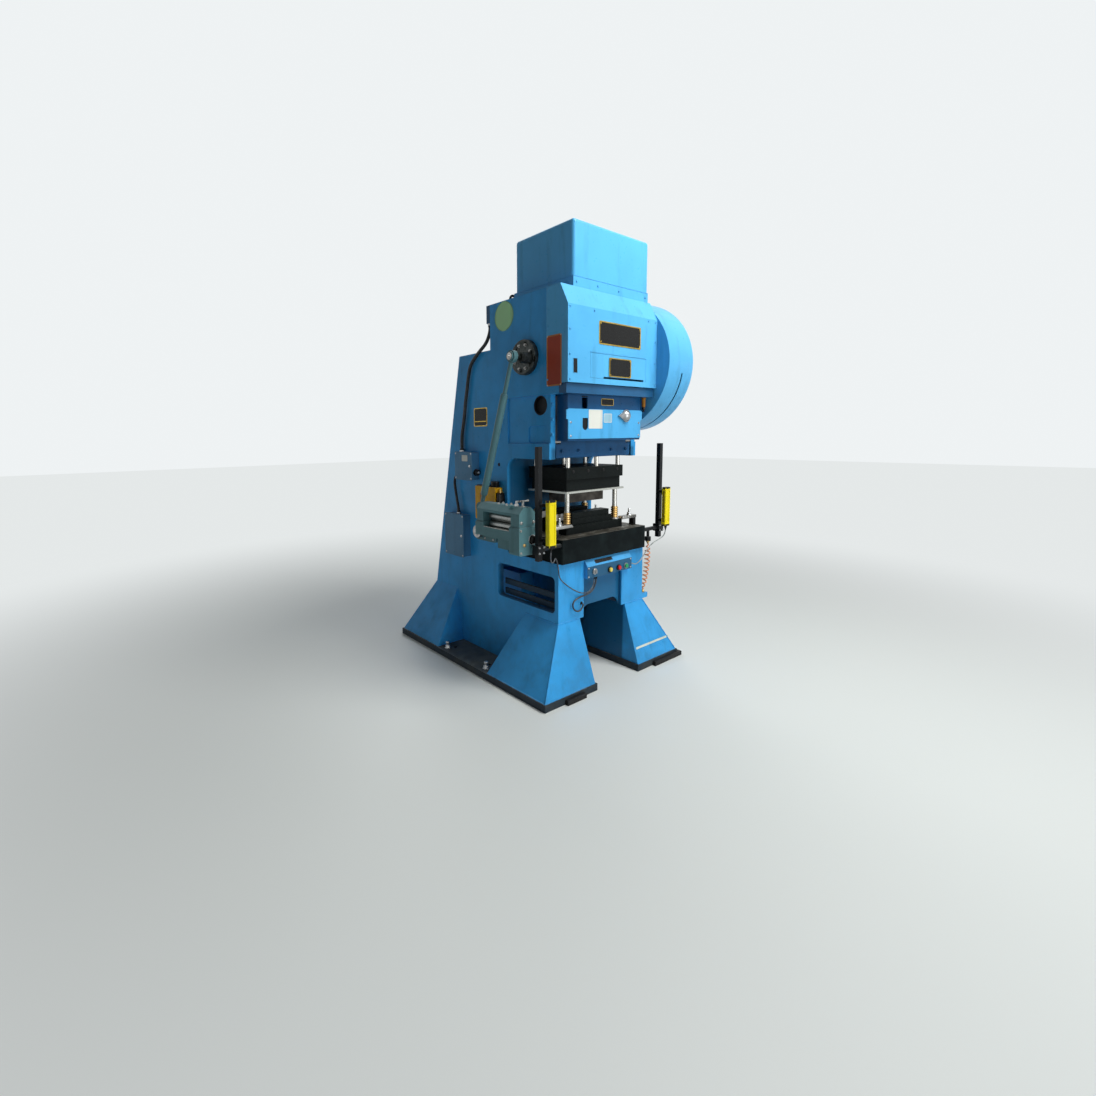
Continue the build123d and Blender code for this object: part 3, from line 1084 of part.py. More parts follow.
def feeder_body():
    """Feeder casting: roll beam between two end blocks, a bolted foot on the bolster's end, and a gearbox."""
    roll_low = PASS_LINE - 2 * ROLL_R
    beam = block(FEEDER_LEFT, FEEDER_RIGHT, FEEDER_FRONT, FEEDER_BACK, FEEDER_BEAM_LOW, FEEDER_BEAM_TOP)
    ends = [(FEEDER_FRONT, FEEDER_FRONT + FEEDER_FRONT_W), (FEEDER_BACK - FEEDER_REAR_W, FEEDER_BACK)]
    body = beam - block(FEEDER_LEFT + FEEDER_WEB_T, FEEDER_RIGHT - FEEDER_WEB_T, ends[0][1], ends[1][0],
                        roll_low - ROLL_Y_GAP, FEEDER_BEAM_TOP + 1)
    for y0, y1 in ends:
        low = FEEDER_BLOCK_LOW if y0 == FEEDER_FRONT else FEEDER_BEAM_LOW
        end = block(FEEDER_LEFT, FEEDER_RIGHT, y0, y1, low, FEEDER_BLOCK_TOP)
        body += rounded_edges(end, Axis.Y, FEEDER_BLOCK_R)
    for x0, x1 in ((FEEDER_LEFT, FEEDER_LEFT + FEEDER_WEB_T), (FEEDER_RIGHT - FEEDER_WEB_T, FEEDER_RIGHT)):
        body += block(x0, x1, ends[0][1], ends[1][0], FEEDER_BEAM_LOW, FEEDER_BEAM_TOP)
    middle = (FEEDER_FRONT + FEEDER_BACK) / 2
    body += block(FEEDER_RIGHT - FEEDER_WEB_T, FEEDER_RIGHT, ends[0][1], ends[1][0], FEEDER_PLATE_LOW, FEEDER_BEAM_LOW)
    body += block(FEEDER_RIGHT, -BOLSTER_HALF, ends[0][1], ends[1][0], FEEDER_PLATE_LOW, FEEDER_PLATE_LOW + FEEDER_PLATE_T)
    for y in (ends[0][1] + FEEDER_WEB_T, middle, ends[1][0] - FEEDER_WEB_T):
        knee = [(FEEDER_RIGHT, FEEDER_PLATE_LOW), (-BOLSTER_HALF, FEEDER_PLATE_LOW), (FEEDER_RIGHT, FEEDER_BEAM_LOW)]
        body += slab_xz(knee, y - FEEDER_PLATE_T / 2, y + FEEDER_PLATE_T / 2)
    body += gearbox(ends[1][0])
    z = PASS_LINE - ROLL_R
    return body - bar_y(ROLL_JOURNAL_R + RUN_FIT, ROLL_X, ends[0][0] + FEEDER_WEB_T, ends[1][1] + 1, z)


def gearbox(neck_front):
    """Bevel gear case behind the rolls, with the cross shaft's boss."""
    case = block(GEARBOX_LEFT, GEARBOX_RIGHT, FEEDER_BACK, GEARBOX_BACK, GEARBOX_LOW, GEARBOX_TOP)
    case = rounded_edges(case, Axis.X, GEARBOX_R)
    return case + block(FEEDER_RIGHT - FEEDER_WEB_T, GEARBOX_RIGHT, neck_front, FEEDER_BACK + GEARBOX_R,
                        FEEDER_BEAM_LOW, GEARBOX_TOP)


def feeder_yoke():
    """Cast yoke over the rolls: two ears that hold the upper roll, an arched bridge and its centre strap."""
    y0, y1 = FEEDER_FRONT + YOKE_INSET, FEEDER_BACK - YOKE_INSET
    front_ear = (y0, FEEDER_FRONT + FEEDER_FRONT_W - YOKE_INSET)
    rear_ear = (FEEDER_BACK - FEEDER_REAR_W + YOKE_INSET, y1)
    roof = YOKE_TOP - YOKE_T
    half = FEEDER_W / 2 - YOKE_INSET
    crest, top = half * YOKE_CREST_SHARE, YOKE_T + YOKE_CROWN
    arch = [(-half, 0), (-half, YOKE_SHOULDER), (-crest, top), (crest, top), (half, YOKE_SHOULDER), (half, 0)]
    section = [(ROLL_X + x, roof - YOKE_CROWN + z) for x, z in arch]
    yoke = slab_xz(section, y0, y1)
    low = FEEDER_BLOCK_TOP + SEAT_GAP
    for a, b in (front_ear, rear_ear):
        yoke += block(ROLL_X - half, ROLL_X + half, a, b, low, roof - YOKE_CROWN + YOKE_SHOULDER)
    yoke -= block(ROLL_X - half * YOKE_SLOT_SHARE, ROLL_X + half * YOKE_SLOT_SHARE, front_ear[1],
                  STRAP_Y - STRAP_W / 2, low, YOKE_TOP + 1)
    z = PASS_LINE + STRIP_GAP + ROLL_R
    return yoke - bar_y(ROLL_JOURNAL_R + RUN_FIT, ROLL_X, front_ear[1] - JOURNAL_L - 1, y1 + 1, z)


def feed_roll(z):
    """Ground feed roll with journals."""
    y0 = FEEDER_FRONT + FEEDER_FRONT_W + ROLL_Y_GAP
    y1 = FEEDER_BACK - FEEDER_REAR_W - ROLL_Y_GAP
    roll = bar_y(ROLL_R, ROLL_X, y0, y1, z)
    roll = chamfer(roll.edges().filter_by(GeomType.CIRCLE), POST_CHAMFER)
    return roll + bar_y(ROLL_JOURNAL_R, ROLL_X, y0 - JOURNAL_L, FEEDER_BACK - YOKE_INSET / 2, z)


def lower_feed_roll():
    """Driven roll under the strip."""
    return feed_roll(PASS_LINE - ROLL_R)


def upper_feed_roll():
    """Pinch roll over the strip."""
    return feed_roll(PASS_LINE + STRIP_GAP + ROLL_R)


def feeder_tee():
    """T handle that sets the pinch of the upper roll."""
    base = YOKE_TOP + SEAT_GAP
    top = base + TEE_RISE
    stem = bar_z(TEE_STEM_R, ROLL_X, TEE_Y, base, top)
    collar = bar_z(TEE_COLLAR_R, ROLL_X, TEE_Y, base, base + TEE_COLLAR_H)
    return stem + collar + bar_x(TEE_BAR_R, ROLL_X - TEE_BAR_HALF, ROLL_X + TEE_BAR_HALF, TEE_Y, top)


def light_curtains():
    """Light curtain bars with end caps, one at each side of the work area."""
    bars = []
    for side in (-1, 1):
        x0 = side * CURTAIN_X - CURTAIN_W / 2
        x1 = x0 + CURTAIN_W
        y1 = CURTAIN_FRONT + CURTAIN_D
        bar = block(x0, x1, CURTAIN_FRONT, y1, CURTAIN_LOW + CURTAIN_CAP, CURTAIN_HIGH - CURTAIN_CAP)
        bar = rounded_edges(bar, Axis.Z, CURTAIN_EDGE_R)
        window = block(x0 + CURTAIN_FRAME, x1 - CURTAIN_FRAME, CURTAIN_FRONT - 1, CURTAIN_FRONT + CURTAIN_LENS_DEPTH,
                       CURTAIN_LOW + 2 * CURTAIN_CAP, CURTAIN_HIGH - 2 * CURTAIN_CAP)
        cap = block(x0 + CURTAIN_LENS_DEPTH, x1 - CURTAIN_LENS_DEPTH, CURTAIN_FRONT + CURTAIN_LENS_DEPTH,
                    y1 - CURTAIN_LENS_DEPTH, CURTAIN_LOW, CURTAIN_HIGH)
        gland = bar_z(CABLE_GLAND_R, side * CURTAIN_X, LEFT_CABLE[0][1], CURTAIN_LOW - CABLE_GLAND_H, CURTAIN_LOW)
        bars.append(bar + cap - window + gland)
    return bars


def curtain_stands():
    """Square posts on clamped pipes from the bolster's ends, with the brackets of the light curtains."""
    stands = []
    half = CURTAIN_POST / 2
    for side in (-1, 1):
        x = side * CURTAIN_POST_X
        post = block(x - half, x + half, CURTAIN_POST_Y - half, CURTAIN_POST_Y + half, CURTAIN_POST_LOW, CURTAIN_POST_HIGH)
        p0, p1 = sorted((side * BOLSTER_HALF, x))
        post += bar_x(CURTAIN_PIPE_R, p0, p1, CURTAIN_POST_Y, CURTAIN_PIPE_Z)
        grip = CURTAIN_CLAMP / 2
        post += block(x - grip, x + grip, CURTAIN_POST_Y - grip, CURTAIN_POST_Y + grip, CURTAIN_PIPE_Z - grip,
                      CURTAIN_PIPE_Z + grip)
        for z in (CURTAIN_LOW + CURTAIN_BRACKET_INSET, CURTAIN_HIGH - CURTAIN_BRACKET_INSET):
            y0 = CURTAIN_FRONT + CURTAIN_D
            bar_x0, arm = side * CURTAIN_X, BRACKET_ARM_W / 2
            post += block(bar_x0 - BRACKET_PLATE / 2, bar_x0 + BRACKET_PLATE / 2, y0, y0 + CURTAIN_BRACKET_T,
                          z - BRACKET_PLATE / 2, z + BRACKET_PLATE / 2)
            low, high = z - BRACKET_PLATE / 4, z + BRACKET_PLATE / 4
            post += block(bar_x0 - arm, bar_x0 + arm, y0, CURTAIN_POST_Y - half, low, high)
            ear0, ear1 = sorted((bar_x0 - side * arm, x))
            post += block(ear0, ear1, CURTAIN_POST_Y - half - CURTAIN_BRACKET_T, CURTAIN_POST_Y - half, low, high)
        stands.append(post)
    stands[-1] += hose_coupling()
    return stands


def button_places():
    """X and Z of each push button."""
    return {"yellow_button": (YELLOW_X, BUTTON_Z), "red_button": (RED_X, BUTTON_Z), "green_button": (GREEN_X, BUTTON_Z)}


def control_box():
    """Folded control box under the bolster, its top sloped back, with collars round the controls."""
    outline = [(PANEL_RECESS, BOX_LOW), (BOX_FRONT, BOX_LOW), (BOX_FRONT, BOX_SLOPE_Z), (BOX_SLOPE_Y, BOX_HIGH),
               (PANEL_RECESS, BOX_HIGH)]
    box = slab_yz(outline, BOX_LEFT, ARCH_HALF)
    front = [(0, BOX_LOW), (BOX_FRONT, BOX_LOW), (BOX_FRONT, BOX_SLOPE_Z), (BOX_SLOPE_Y, BOX_HIGH), (0, BOX_HIGH)]
    box += slab_yz(front, ARCH_HALF, BOX_RIGHT)
    places = list(button_places().values()) + [(SELECTOR_X, SELECTOR_Z)]
    for x, z in places:
        box += bar_y(COLLAR_R, x, BOX_FRONT - COLLAR_H, BOX_FRONT, z)
        box -= bar_y(CAP_R + CAP_FIT, x, BOX_FRONT - COLLAR_H - 1, BOX_FRONT + CAP_DEPTH, z)
    return box


def push_button(x, z):
    """Mushroom-edged push button in its collar, with room behind it for its travel."""
    front = BOX_FRONT - COLLAR_H - CAP_PROUD
    cap = bar_y(CAP_R, x, front, BOX_FRONT + CAP_DEPTH - BUTTON_TRAVEL - SEAT_GAP, z)
    return fillet(cap.edges().filter_by(GeomType.CIRCLE).sort_by(Axis.Y)[0], CAP_EDGE_R)


def selector_switch():
    """Round selector with a raised grip bar."""
    front = BOX_FRONT - COLLAR_H - CAP_PROUD / 2
    knob = bar_y(CAP_R, SELECTOR_X, front, BOX_FRONT + CAP_DEPTH - SEAT_GAP, SELECTOR_Z)
    half = GRIP_BAR_W / 2
    reach = CAP_R - GRIP_BAR_INSET
    grip = block(SELECTOR_X - half, SELECTOR_X + half, front - CAP_PROUD, front + 1, SELECTOR_Z - reach, SELECTOR_Z + reach)
    return knob + fillet(grip.edges().filter_by(Axis.Y), CAP_EDGE_R)


def side_box(span):
    """Sheet box on the left side plate with a lid on its outer face. span is Y and Z low and high."""
    y0, y1, z0, z1 = span
    x1 = -HALF_WIDTH
    x0 = x1 - SIDE_BOX_DEPTH
    box = rounded_edges(block(x0, x1, y0, y1, z0, z1), Axis.X, SIDE_BOX_R)
    lid = block(x0 - LID_T, x0, y0 - LID_PROUD, y1 + LID_PROUD, z0 - LID_PROUD, z1 + LID_PROUD)
    return box + rounded_edges(lid, Axis.X, SIDE_BOX_R)


def junction_boxes():
    """The two terminal boxes of the conduits."""
    return [side_box(UPPER_BOX), side_box(LOWER_BOX)]


def lubrication_unit():
    """Oil unit on the left side, with its filler cap."""
    y0, y1, z0, z1 = UNIT_BOX
    unit = side_box(UNIT_BOX)
    x = -HALF_WIDTH - SIDE_BOX_DEPTH / 2
    cap = bar_z(UNIT_CAP_R, x, y0 + UNIT_CAP_INSET, z1 - 1, z1 + UNIT_CAP_H)
    return unit + chamfer(cap.edges().group_by(Axis.Z)[-1], LID_PROUD)


def tube_along(points, radius, share=0.45):
    """Round tube on straight runs joined by tangent arcs as large as the runs allow."""
    spots = [Vector(*p) for p in points]
    radii = []
    for before, at, after in zip(spots, spots[1:], spots[2:]):
        turn = math.radians((at - before).get_angle(after - at))
        shorter = min((at - before).length, (after - at).length)
        radii.append(share * shorter / math.tan(turn / 2))
    path = FilletPolyline(*spots, radius=radii)
    start = Plane(origin=path @ 0, z_dir=path % 0)
    tube = sweep(start * Circle(radius), path=path)
    print(f"tube r {radius}: length {path.length:.0f}, volume ratio",
          round(tube.volume / (path.length * math.pi * radius ** 2), 4), "radii", [round(r) for r in radii])
    return tube


def conduits():
    """Conduits on the left side: crown ledge to upper box, and upper box to lower box."""
    return [tube_along(UPPER_CONDUIT, UPPER_CONDUIT_R), tube_along(LOWER_CONDUIT, LOWER_CONDUIT_R)]


def hose_coupling():
    """Neck and collar under the right curtain pipe that hold the air hose."""
    x, y, z = HOSE[0]
    collar = bar_z(HOSE_R, x, y, z, z + HOSE_COLLAR_H)
    return collar + bar_z(HOSE_NECK_R, x, y, z, CURTAIN_PIPE_Z)


def build_all():
    """Every piece by its node's name."""
    pieces = {
        "left_side_plate": side_plate(-1),
        "right_side_plate": side_plate(1),
        "bed_front_panel": bed_front_panel(),
        "table_plate": table_plate(),
        "throat_plate": throat_plate(),
        "rear_plate": rear_plate(),
        "crown_box": crown_box(),
        "front_feet": front_feet(),
        "rear_feet": rear_feet(),
        "base_rails": base_rails(),
        "levelling_blocks": levelling_blocks(),
        "crown_front_cover": crown_front_cover(),
        "cover_hatch": cover_hatch(),
        "roof_base": roof_base(),
        "roof_hood": roof_hood(),
        "main_bushes": main_bushes(),
        "crankshaft": crankshaft(),
        "connecting_rod": connecting_rod(),
        "ball_screw": ball_screw(),
        "slide": slide(),
        "slide_gibs": slide_gibs(),
        "slide_housing": slide_housing(),
        "slide_cover": slide_cover(),
        "cover_knob": cover_knob(),
        "bolster": bolster(),
        "lower_die_shoe": lower_die_shoe(),
        "lower_die_block": lower_die_block(),
        "guide_posts": guide_posts(),
        "post_springs": post_springs(),
        "upper_die_shoe": upper_die_shoe(),
        "punch_plate": punch_plate(),
        "die_risers": die_risers(),
        "flywheel": flywheel(),
        "clutch_unit": clutch_unit(),
        "drive_belt": drive_belt(),
        "drive_pulley": drive_pulley(),
        "drive_motor": drive_motor(),
        "flywheel_guard": flywheel_guard(),
        "feed_disc": feed_disc(),
        "feed_rod": feed_rod(),
        "feeder_arm": feeder_arm(),
        "feeder_body": feeder_body(),
        "feeder_yoke": feeder_yoke(),
        "lower_feed_roll": lower_feed_roll(),
        "upper_feed_roll": upper_feed_roll(),
        "feeder_tee": feeder_tee(),
        "light_curtains": light_curtains(),
        "curtain_stands": curtain_stands(),
        "control_box": control_box(),
        "selector_switch": selector_switch(),
        "junction_boxes": junction_boxes(),
        "lubrication_unit": lubrication_unit(),
        "conduits": conduits(),
        "control_cable": tube_along(CONTROL_CABLE, CONTROL_CABLE_R),
        "left_curtain_cable": tube_along(LEFT_CABLE, CURTAIN_CABLE_R),
        "right_curtain_cable": tube_along(RIGHT_CABLE, CURTAIN_CABLE_R),
        "air_hose": tube_along(HOSE, HOSE_R),
    }
    for name, (x, z) in button_places().items():
        pieces[name] = push_button(x, z)
    return pieces


def write_all():
    """Move each piece to the press's own origin and write it."""
    os.makedirs("parts", exist_ok=True)
    home = Location((0, -ANCHOR_MID_Y, 0))
    for name, piece in build_all().items():
        solids = list(piece) if isinstance(piece, list) else [piece]
        flat = [home * s for solid in solids for s in solid.solids()]
        export_step(flat[0] if len(flat) == 1 else Compound(children=flat), f"parts/{name}.step")


if __name__ == "__main__":
    write_all()
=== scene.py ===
import json
import math

import bpy
from mathutils import Matrix, Vector

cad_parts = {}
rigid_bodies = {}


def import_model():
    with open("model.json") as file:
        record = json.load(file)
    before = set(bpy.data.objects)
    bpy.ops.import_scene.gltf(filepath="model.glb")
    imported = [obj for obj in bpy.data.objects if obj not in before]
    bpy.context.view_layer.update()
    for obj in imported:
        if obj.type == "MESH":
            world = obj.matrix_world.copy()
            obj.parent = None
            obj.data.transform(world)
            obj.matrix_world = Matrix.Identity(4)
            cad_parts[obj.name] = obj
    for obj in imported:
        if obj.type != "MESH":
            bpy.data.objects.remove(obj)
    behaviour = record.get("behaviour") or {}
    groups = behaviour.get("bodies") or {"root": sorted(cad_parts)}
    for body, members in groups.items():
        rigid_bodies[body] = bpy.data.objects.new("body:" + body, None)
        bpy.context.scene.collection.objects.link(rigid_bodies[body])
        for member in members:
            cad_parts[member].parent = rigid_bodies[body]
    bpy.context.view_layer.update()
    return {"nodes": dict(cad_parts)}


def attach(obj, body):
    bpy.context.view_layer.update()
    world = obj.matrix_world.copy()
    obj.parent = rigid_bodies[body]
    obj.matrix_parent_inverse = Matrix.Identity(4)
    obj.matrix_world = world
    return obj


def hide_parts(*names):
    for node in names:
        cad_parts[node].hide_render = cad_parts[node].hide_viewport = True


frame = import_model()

bpy.ops.object.select_all(action="DESELECT")

# View: an eye 1.6 m up on the operator's left looks at the press from the front.
# A wide floor of pale resin and four soft lamps make the studio around it.
EYE = Vector((-2.7273, -2.9775, 1.5988))
YAW = 0.665
PITCH = -0.1087
ROLL = -0.0118
view = bpy.data.cameras.new("view")
view.sensor_width = 36
view.lens = 17.66
view.shift_x = 0.0547
view.shift_y = -0.0491
view.clip_end = 200
ahead = Vector((math.sin(YAW) * math.cos(PITCH), math.cos(YAW) * math.cos(PITCH), math.sin(PITCH)))
level = Vector((math.cos(YAW), -math.sin(YAW), 0))
above = level.cross(ahead)
across = level * math.cos(ROLL) + above * math.sin(ROLL)
upward = above * math.cos(ROLL) - level * math.sin(ROLL)
eye = bpy.data.objects.new("view", view)
eye.matrix_world = Matrix.Translation(EYE) @ Matrix((across, upward, -ahead)).transposed().to_4x4()
bpy.context.scene.collection.objects.link(eye)
bpy.context.scene.camera = eye
bpy.context.scene.view_settings.view_transform = "Standard"


class Flow:
    """A value inside a finish; arithmetic on it adds Math nodes."""

    def __init__(self, finish, socket):
        self.finish = finish
        self.socket = socket

    def reckon(self, operation, *values):
        return self.finish.node("Math", dict(enumerate(values)), operation=operation)

    def __add__(self, other):
        return self.reckon("ADD", self, other)

    def __sub__(self, other):
        return self.reckon("SUBTRACT", self, other)

    def __rsub__(self, other):
        return self.reckon("SUBTRACT", other, self)

    def __mul__(self, other):
        return self.reckon("MULTIPLY", self, other)

    __radd__ = __add__
    __rmul__ = __mul__


class Finish:
    """The nodes of a new material, or of the world."""

    def __init__(self, name, holder=None):
        self.holder = holder or bpy.data.materials.new(name)
        self.holder.use_nodes = True
        self.tree = self.holder.node_tree
        self.tree.nodes.clear()

    def node(self, kind, sockets=None, out=0, **settings):
        made = self.tree.nodes.new("ShaderNode" + kind)
        for key, value in settings.items():
            setattr(made, key, value)
        for key, value in (sockets or {}).items():
            if isinstance(value, Flow):
                self.tree.links.new(value.socket, made.inputs[key])
            else:
                made.inputs[key].default_value = value
        return None if out is None else Flow(self, made.outputs[out])

    def closed(self, surface, kind="OutputMaterial"):
        self.node(kind, {"Surface": surface}, out=None)
        return self.holder


def cloud(finish, scale, detail=3.0, rough=0.55, stretch=(1, 1, 1), sway=0.0):
    """Soft noise over a piece, drawn out along an axis by stretch."""
    place = finish.node("Mapping", {"Vector": finish.node("TexCoord", out="Object"), "Scale": stretch})
    sockets = {"Vector": place, "Scale": scale, "Detail": detail, "Roughness": rough, "Distortion": sway}
    return finish.node("TexNoise", sockets)


def between(finish, value, low, high):
    """Rises smoothly from 0 at low to 1 at high."""
    sockets = {"Value": value, "From Min": low, "From Max": high}
    return finish.node("MapRange", sockets, interpolation_type="SMOOTHSTEP")


def blend(finish, share, first, second):
    """Colour that goes from first to second with share."""
    first, second = (tone if isinstance(tone, Flow) else (*tone, 1) for tone in (first, second))
    return finish.node("Mix", {0: share, 6: first, 7: second}, out=2, data_type="RGBA")


def bump(finish, strength, distance, height, normal=None):
    """Relief from a height, on top of a normal if there is one."""
    sockets = {"Strength": strength, "Distance": distance, "Height": height}
    if normal:
        sockets["Normal"] = normal
    return finish.node("Bump", sockets)


def skin(finish, tone, rough, normal, metallic=0.0, sheen=0.5):
    """Surface of a colour, roughness and relief."""
    sockets = {"Base Color": tone, "Metallic": metallic, "Roughness": rough, "Specular IOR Level": sheen,
               "Normal": normal}
    return finish.node("BsdfPrincipled", sockets)


def backdrop_rays(finish):
    """1 for the rays that see the plain background: straight ones, mirrored ones and those through glass."""
    kinds = ("Is Camera Ray", "Is Glossy Ray", "Is Transmission Ray")
    straight, mirrored, through = (finish.node("LightPath", out=kind) for kind in kinds)
    return straight + mirrored + through


def floor_finish():
    """Pale green-grey floor resin, a touch uneven, that stays light around the shadow."""
    resin = Finish("pale_floor")
    tone = blend(resin, cloud(resin, 0.35), (0.70, 0.74, 0.73), (0.76, 0.79, 0.78))
    lit = skin(resin, tone, 0.55, bump(resin, 0.05, 0.002, cloud(resin, 30)))
    place = resin.node("TexCoord", out="Object")
    radius = resin.node("VectorMath", {0: place}, out=1, operation="LENGTH")
    pale = resin.node("Emission", {"Color": (0.78, 0.81, 0.81, 1)})
    far = between(resin, radius, 1.6, 6.0) * backdrop_rays(resin)
    return resin.closed(resin.node("MixShader", {0: far, 1: lit, 2: pale}))


FLOOR_SIZE = 60
bpy.ops.mesh.primitive_plane_add(size=FLOOR_SIZE, location=(0, 0, -0.0005))
floor = bpy.context.object
floor.name = "floor"
floor.data.materials.append(floor_finish())

studio = Finish("studio", bpy.data.worlds.new("studio"))
bpy.context.scene.world = studio.holder
fill = studio.node("Background", {"Color": (0.93, 0.97, 1.0, 1), "Strength": 0.11})
pale = studio.node("Background", {"Color": (0.86, 0.89, 0.90, 1), "Strength": 1.0})
studio.closed(studio.node("MixShader", {0: backdrop_rays(studio), 1: fill, 2: pale}), "OutputWorld")

LAMPS = {
    "ceiling_lamp": ((0.9, -3.0, 5.0), (0.1, -0.7, 1.6), 2.2, 215, (1.0, 0.99, 0.95)),
    "window_lamp": ((0.4, -7.0, 1.9), (0.0, -0.4, 0.9), 3.2, 128, (0.96, 0.99, 1.0)),
    "left_lamp": ((-6.0, 0.5, 3.6), (0.0, 0.2, 1.2), 3.0, 2.5, (0.95, 0.98, 1.0)),
    "rear_lamp": ((2.5, 5.5, 4.5), (0.0, 0.6, 1.4), 3.0, 100, (0.97, 0.99, 1.0)),
}
for name, (place, target, size, power, colour) in LAMPS.items():
    bulb = bpy.data.lights.new(name, "AREA")
    bulb.size = size
    bulb.energy = power
    bulb.color = colour
    lamp = bpy.data.objects.new(name, bulb)
    lamp.matrix_world = (Matrix.Translation(place)
                         @ (Vector(target) - Vector(place)).to_track_quat("-Z", "Y").to_matrix().to_4x4())
    bpy.context.scene.collection.objects.link(lamp)


# Cords: the conduits on the column's left side, the thin leads of the light curtains,
# the control box's lead and the curly air hose, all held at both ends by the machine.
def along(finish, axis, kind="TexCoord", side="Object"):
    """One coordinate of a piece's own place, of its normal or of its length."""
    return finish.node("SeparateXYZ", {0: finish.node(kind, out=side)}, out=axis)


def cord_finish(name, dark, light, rough, rings=0):
    """Extruded sheath, a little dusty; rings makes it a ribbed conduit of so many ribs."""
    sheath = Finish(name)
    tone = blend(sheath, between(sheath, cloud(sheath, 34), 0.35, 0.7), dark, light)
    gloss = between(sheath, cloud(sheath, 60), 0.1, 0.9) * 0.2 + rough
    if rings:
        wave = along(sheath, 0, side="UV") * (rings * math.tau)
        relief = bump(sheath, 0.9, 0.002, wave.reckon("SINE", wave))
    else:
        relief = bump(sheath, 0.15, 0.0004, cloud(sheath, 420, 2))
    return sheath.closed(skin(sheath, tone, gloss, relief))


def cord_line(name, points, radius):
    """Smooth line with the route's points as its control points."""
    line = bpy.data.curves.new(name, "CURVE")
    line.dimensions = "3D"
    line.bevel_depth = radius
    line.bevel_resolution = 5
    line.resolution_u = 10
    line.use_fill_caps = True
    spline = line.splines.new("NURBS")
    spline.points.add(len(points) - 1)
    for knot, (x, y, z) in zip(spline.points, points):
        knot.co = (x, y, z, 1)
    spline.order_u = 3
    spline.use_endpoint_u = True
    cord = bpy.data.objects.new(name, line)
    bpy.context.scene.collection.objects.link(cord)
    return cord


def route(*points):
    """Points in metres of a cord's way that is written in millimetres."""
    return [tuple(value / 1000 for value in point) for point in points]


UPPER_CONDUIT = route(
    (-402, -58, 2348), (-402, -58, 2314), (-406, -50, 2272), (-416, -28, 2220), (-438, 18, 2172),
    (-440, 74, 2132), (-440, 122, 2088), (-440, 146, 2030), (-440, 162, 1950), (-440, 188, 1840),
    (-440, 210, 1712), (-440, 238, 1610), (-440, 242, 1540), (-440, 242, 1482))
LOWER_CONDUIT = route(
    (-450, 265, 1312), (-450, 312, 1312), (-450, 330, 1262), (-450, 322, 1205), (-450, 300, 1120),
    (-450, 282, 1062), (-450, 282, 1022))
CONTROL_CABLE = route(
    (-80, -728, 689), (-80, -728, 668), (-90, -730, 640), (-112, -732, 606), (-150, -734, 588),
    (-204, -734, 582), (-262, -736, 578), (-306, -737, 562), (-312, -738, 528), (-286, -738, 498),
    (-256, -739, 490), (-228, -740, 504), (-214, -740, 532), (-214, -720, 532))
LEFT_CABLE = route(
    (-565, -802, 941), (-565, -802, 921), (-570, -804, 898), (-566, -802, 872), (-548, -796, 856),
    (-526, -786, 858), (-506, -776, 874), (-488, -766, 868), (-470, -758, 846), (-456, -752, 816),
    (-446, -748, 782), (-437, -742, 750), (-418, -736, 724), (-384, -735, 694), (-340, -735, 662),
    (-292, -735, 632), (-240, -735, 606), (-190, -735, 594), (-146, -735, 602), (-118, -734, 630),
    (-104, -732, 662), (-104, -732, 689))
RIGHT_CABLE = route(
    (565, -802, 941), (565, -802, 921), (560, -802, 899), (542, -798, 877), (510, -790, 862),
    (466, -780, 846), (428, -770, 820), (398, -762, 784), (370, -756, 748), (338, -750, 718),
    (306, -742, 704), (282, -734, 716), (256, -734, 716))
AIR_HOSE = route(
    (470, -725, 846), (470, -725, 800), (473, -723, 730), (472, -718, 660), (469, -710, 596),
    (464, -700, 536), (464, -696, 502), (464, -696, 470))
conduit_sheath = cord_finish("conduit_sheath", (0.016, 0.018, 0.020), (0.050, 0.052, 0.050), 0.45, rings=190)
CORDS = (
    ("upper_conduit", UPPER_CONDUIT, 0.012, 0.956, "stiff", "conduits", conduit_sheath),
    ("lower_conduit", LOWER_CONDUIT, 0.010, 0.337, "stiff", "conduits", conduit_sheath),
    ("control_lead", CONTROL_CABLE, 0.005, 0.467, "medium", "control_cable",
     cord_finish("black_sheath", (0.010, 0.010, 0.012), (0.035, 0.036, 0.038), 0.38)),
    ("left_curtain_lead", LEFT_CABLE, 0.0035, 0.737, "medium", "left_curtain_cable",
     cord_finish("dark_grey_sheath", (0.040, 0.045, 0.055), (0.12, 0.13, 0.14), 0.42)),
    ("right_curtain_lead", RIGHT_CABLE, 0.0035, 0.426, "medium", "right_curtain_cable",
     cord_finish("pale_grey_sheath", (0.22, 0.24, 0.24), (0.42, 0.44, 0.43), 0.42)),
)
for name, points, radius, length, stiffness, node, sheath in CORDS:
    cord = cord_line(name, points, radius)
    cord.data.materials.append(sheath)
    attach(cord, "frame")
    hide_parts(node)
    "black_plastic" if radius > 0.0035 else "grey_rubber"
    2 * radius

HOSE_TUBE_R = 0.0042
HOSE_COIL_R = 0.0165
HOSE_TURNS = 11
HOSE_STEPS = 16
hose_core = cord_line("hose_core", AIR_HOSE, 0)
core_line = bpy.data.meshes.new_from_object(hose_core)
spine = [vertex.co.copy() for vertex in core_line.vertices]
bpy.data.objects.remove(hose_core)
reach = [0.0]
for first, second in zip(spine, spine[1:]):
    reach.append(reach[-1] + (second - first).length)


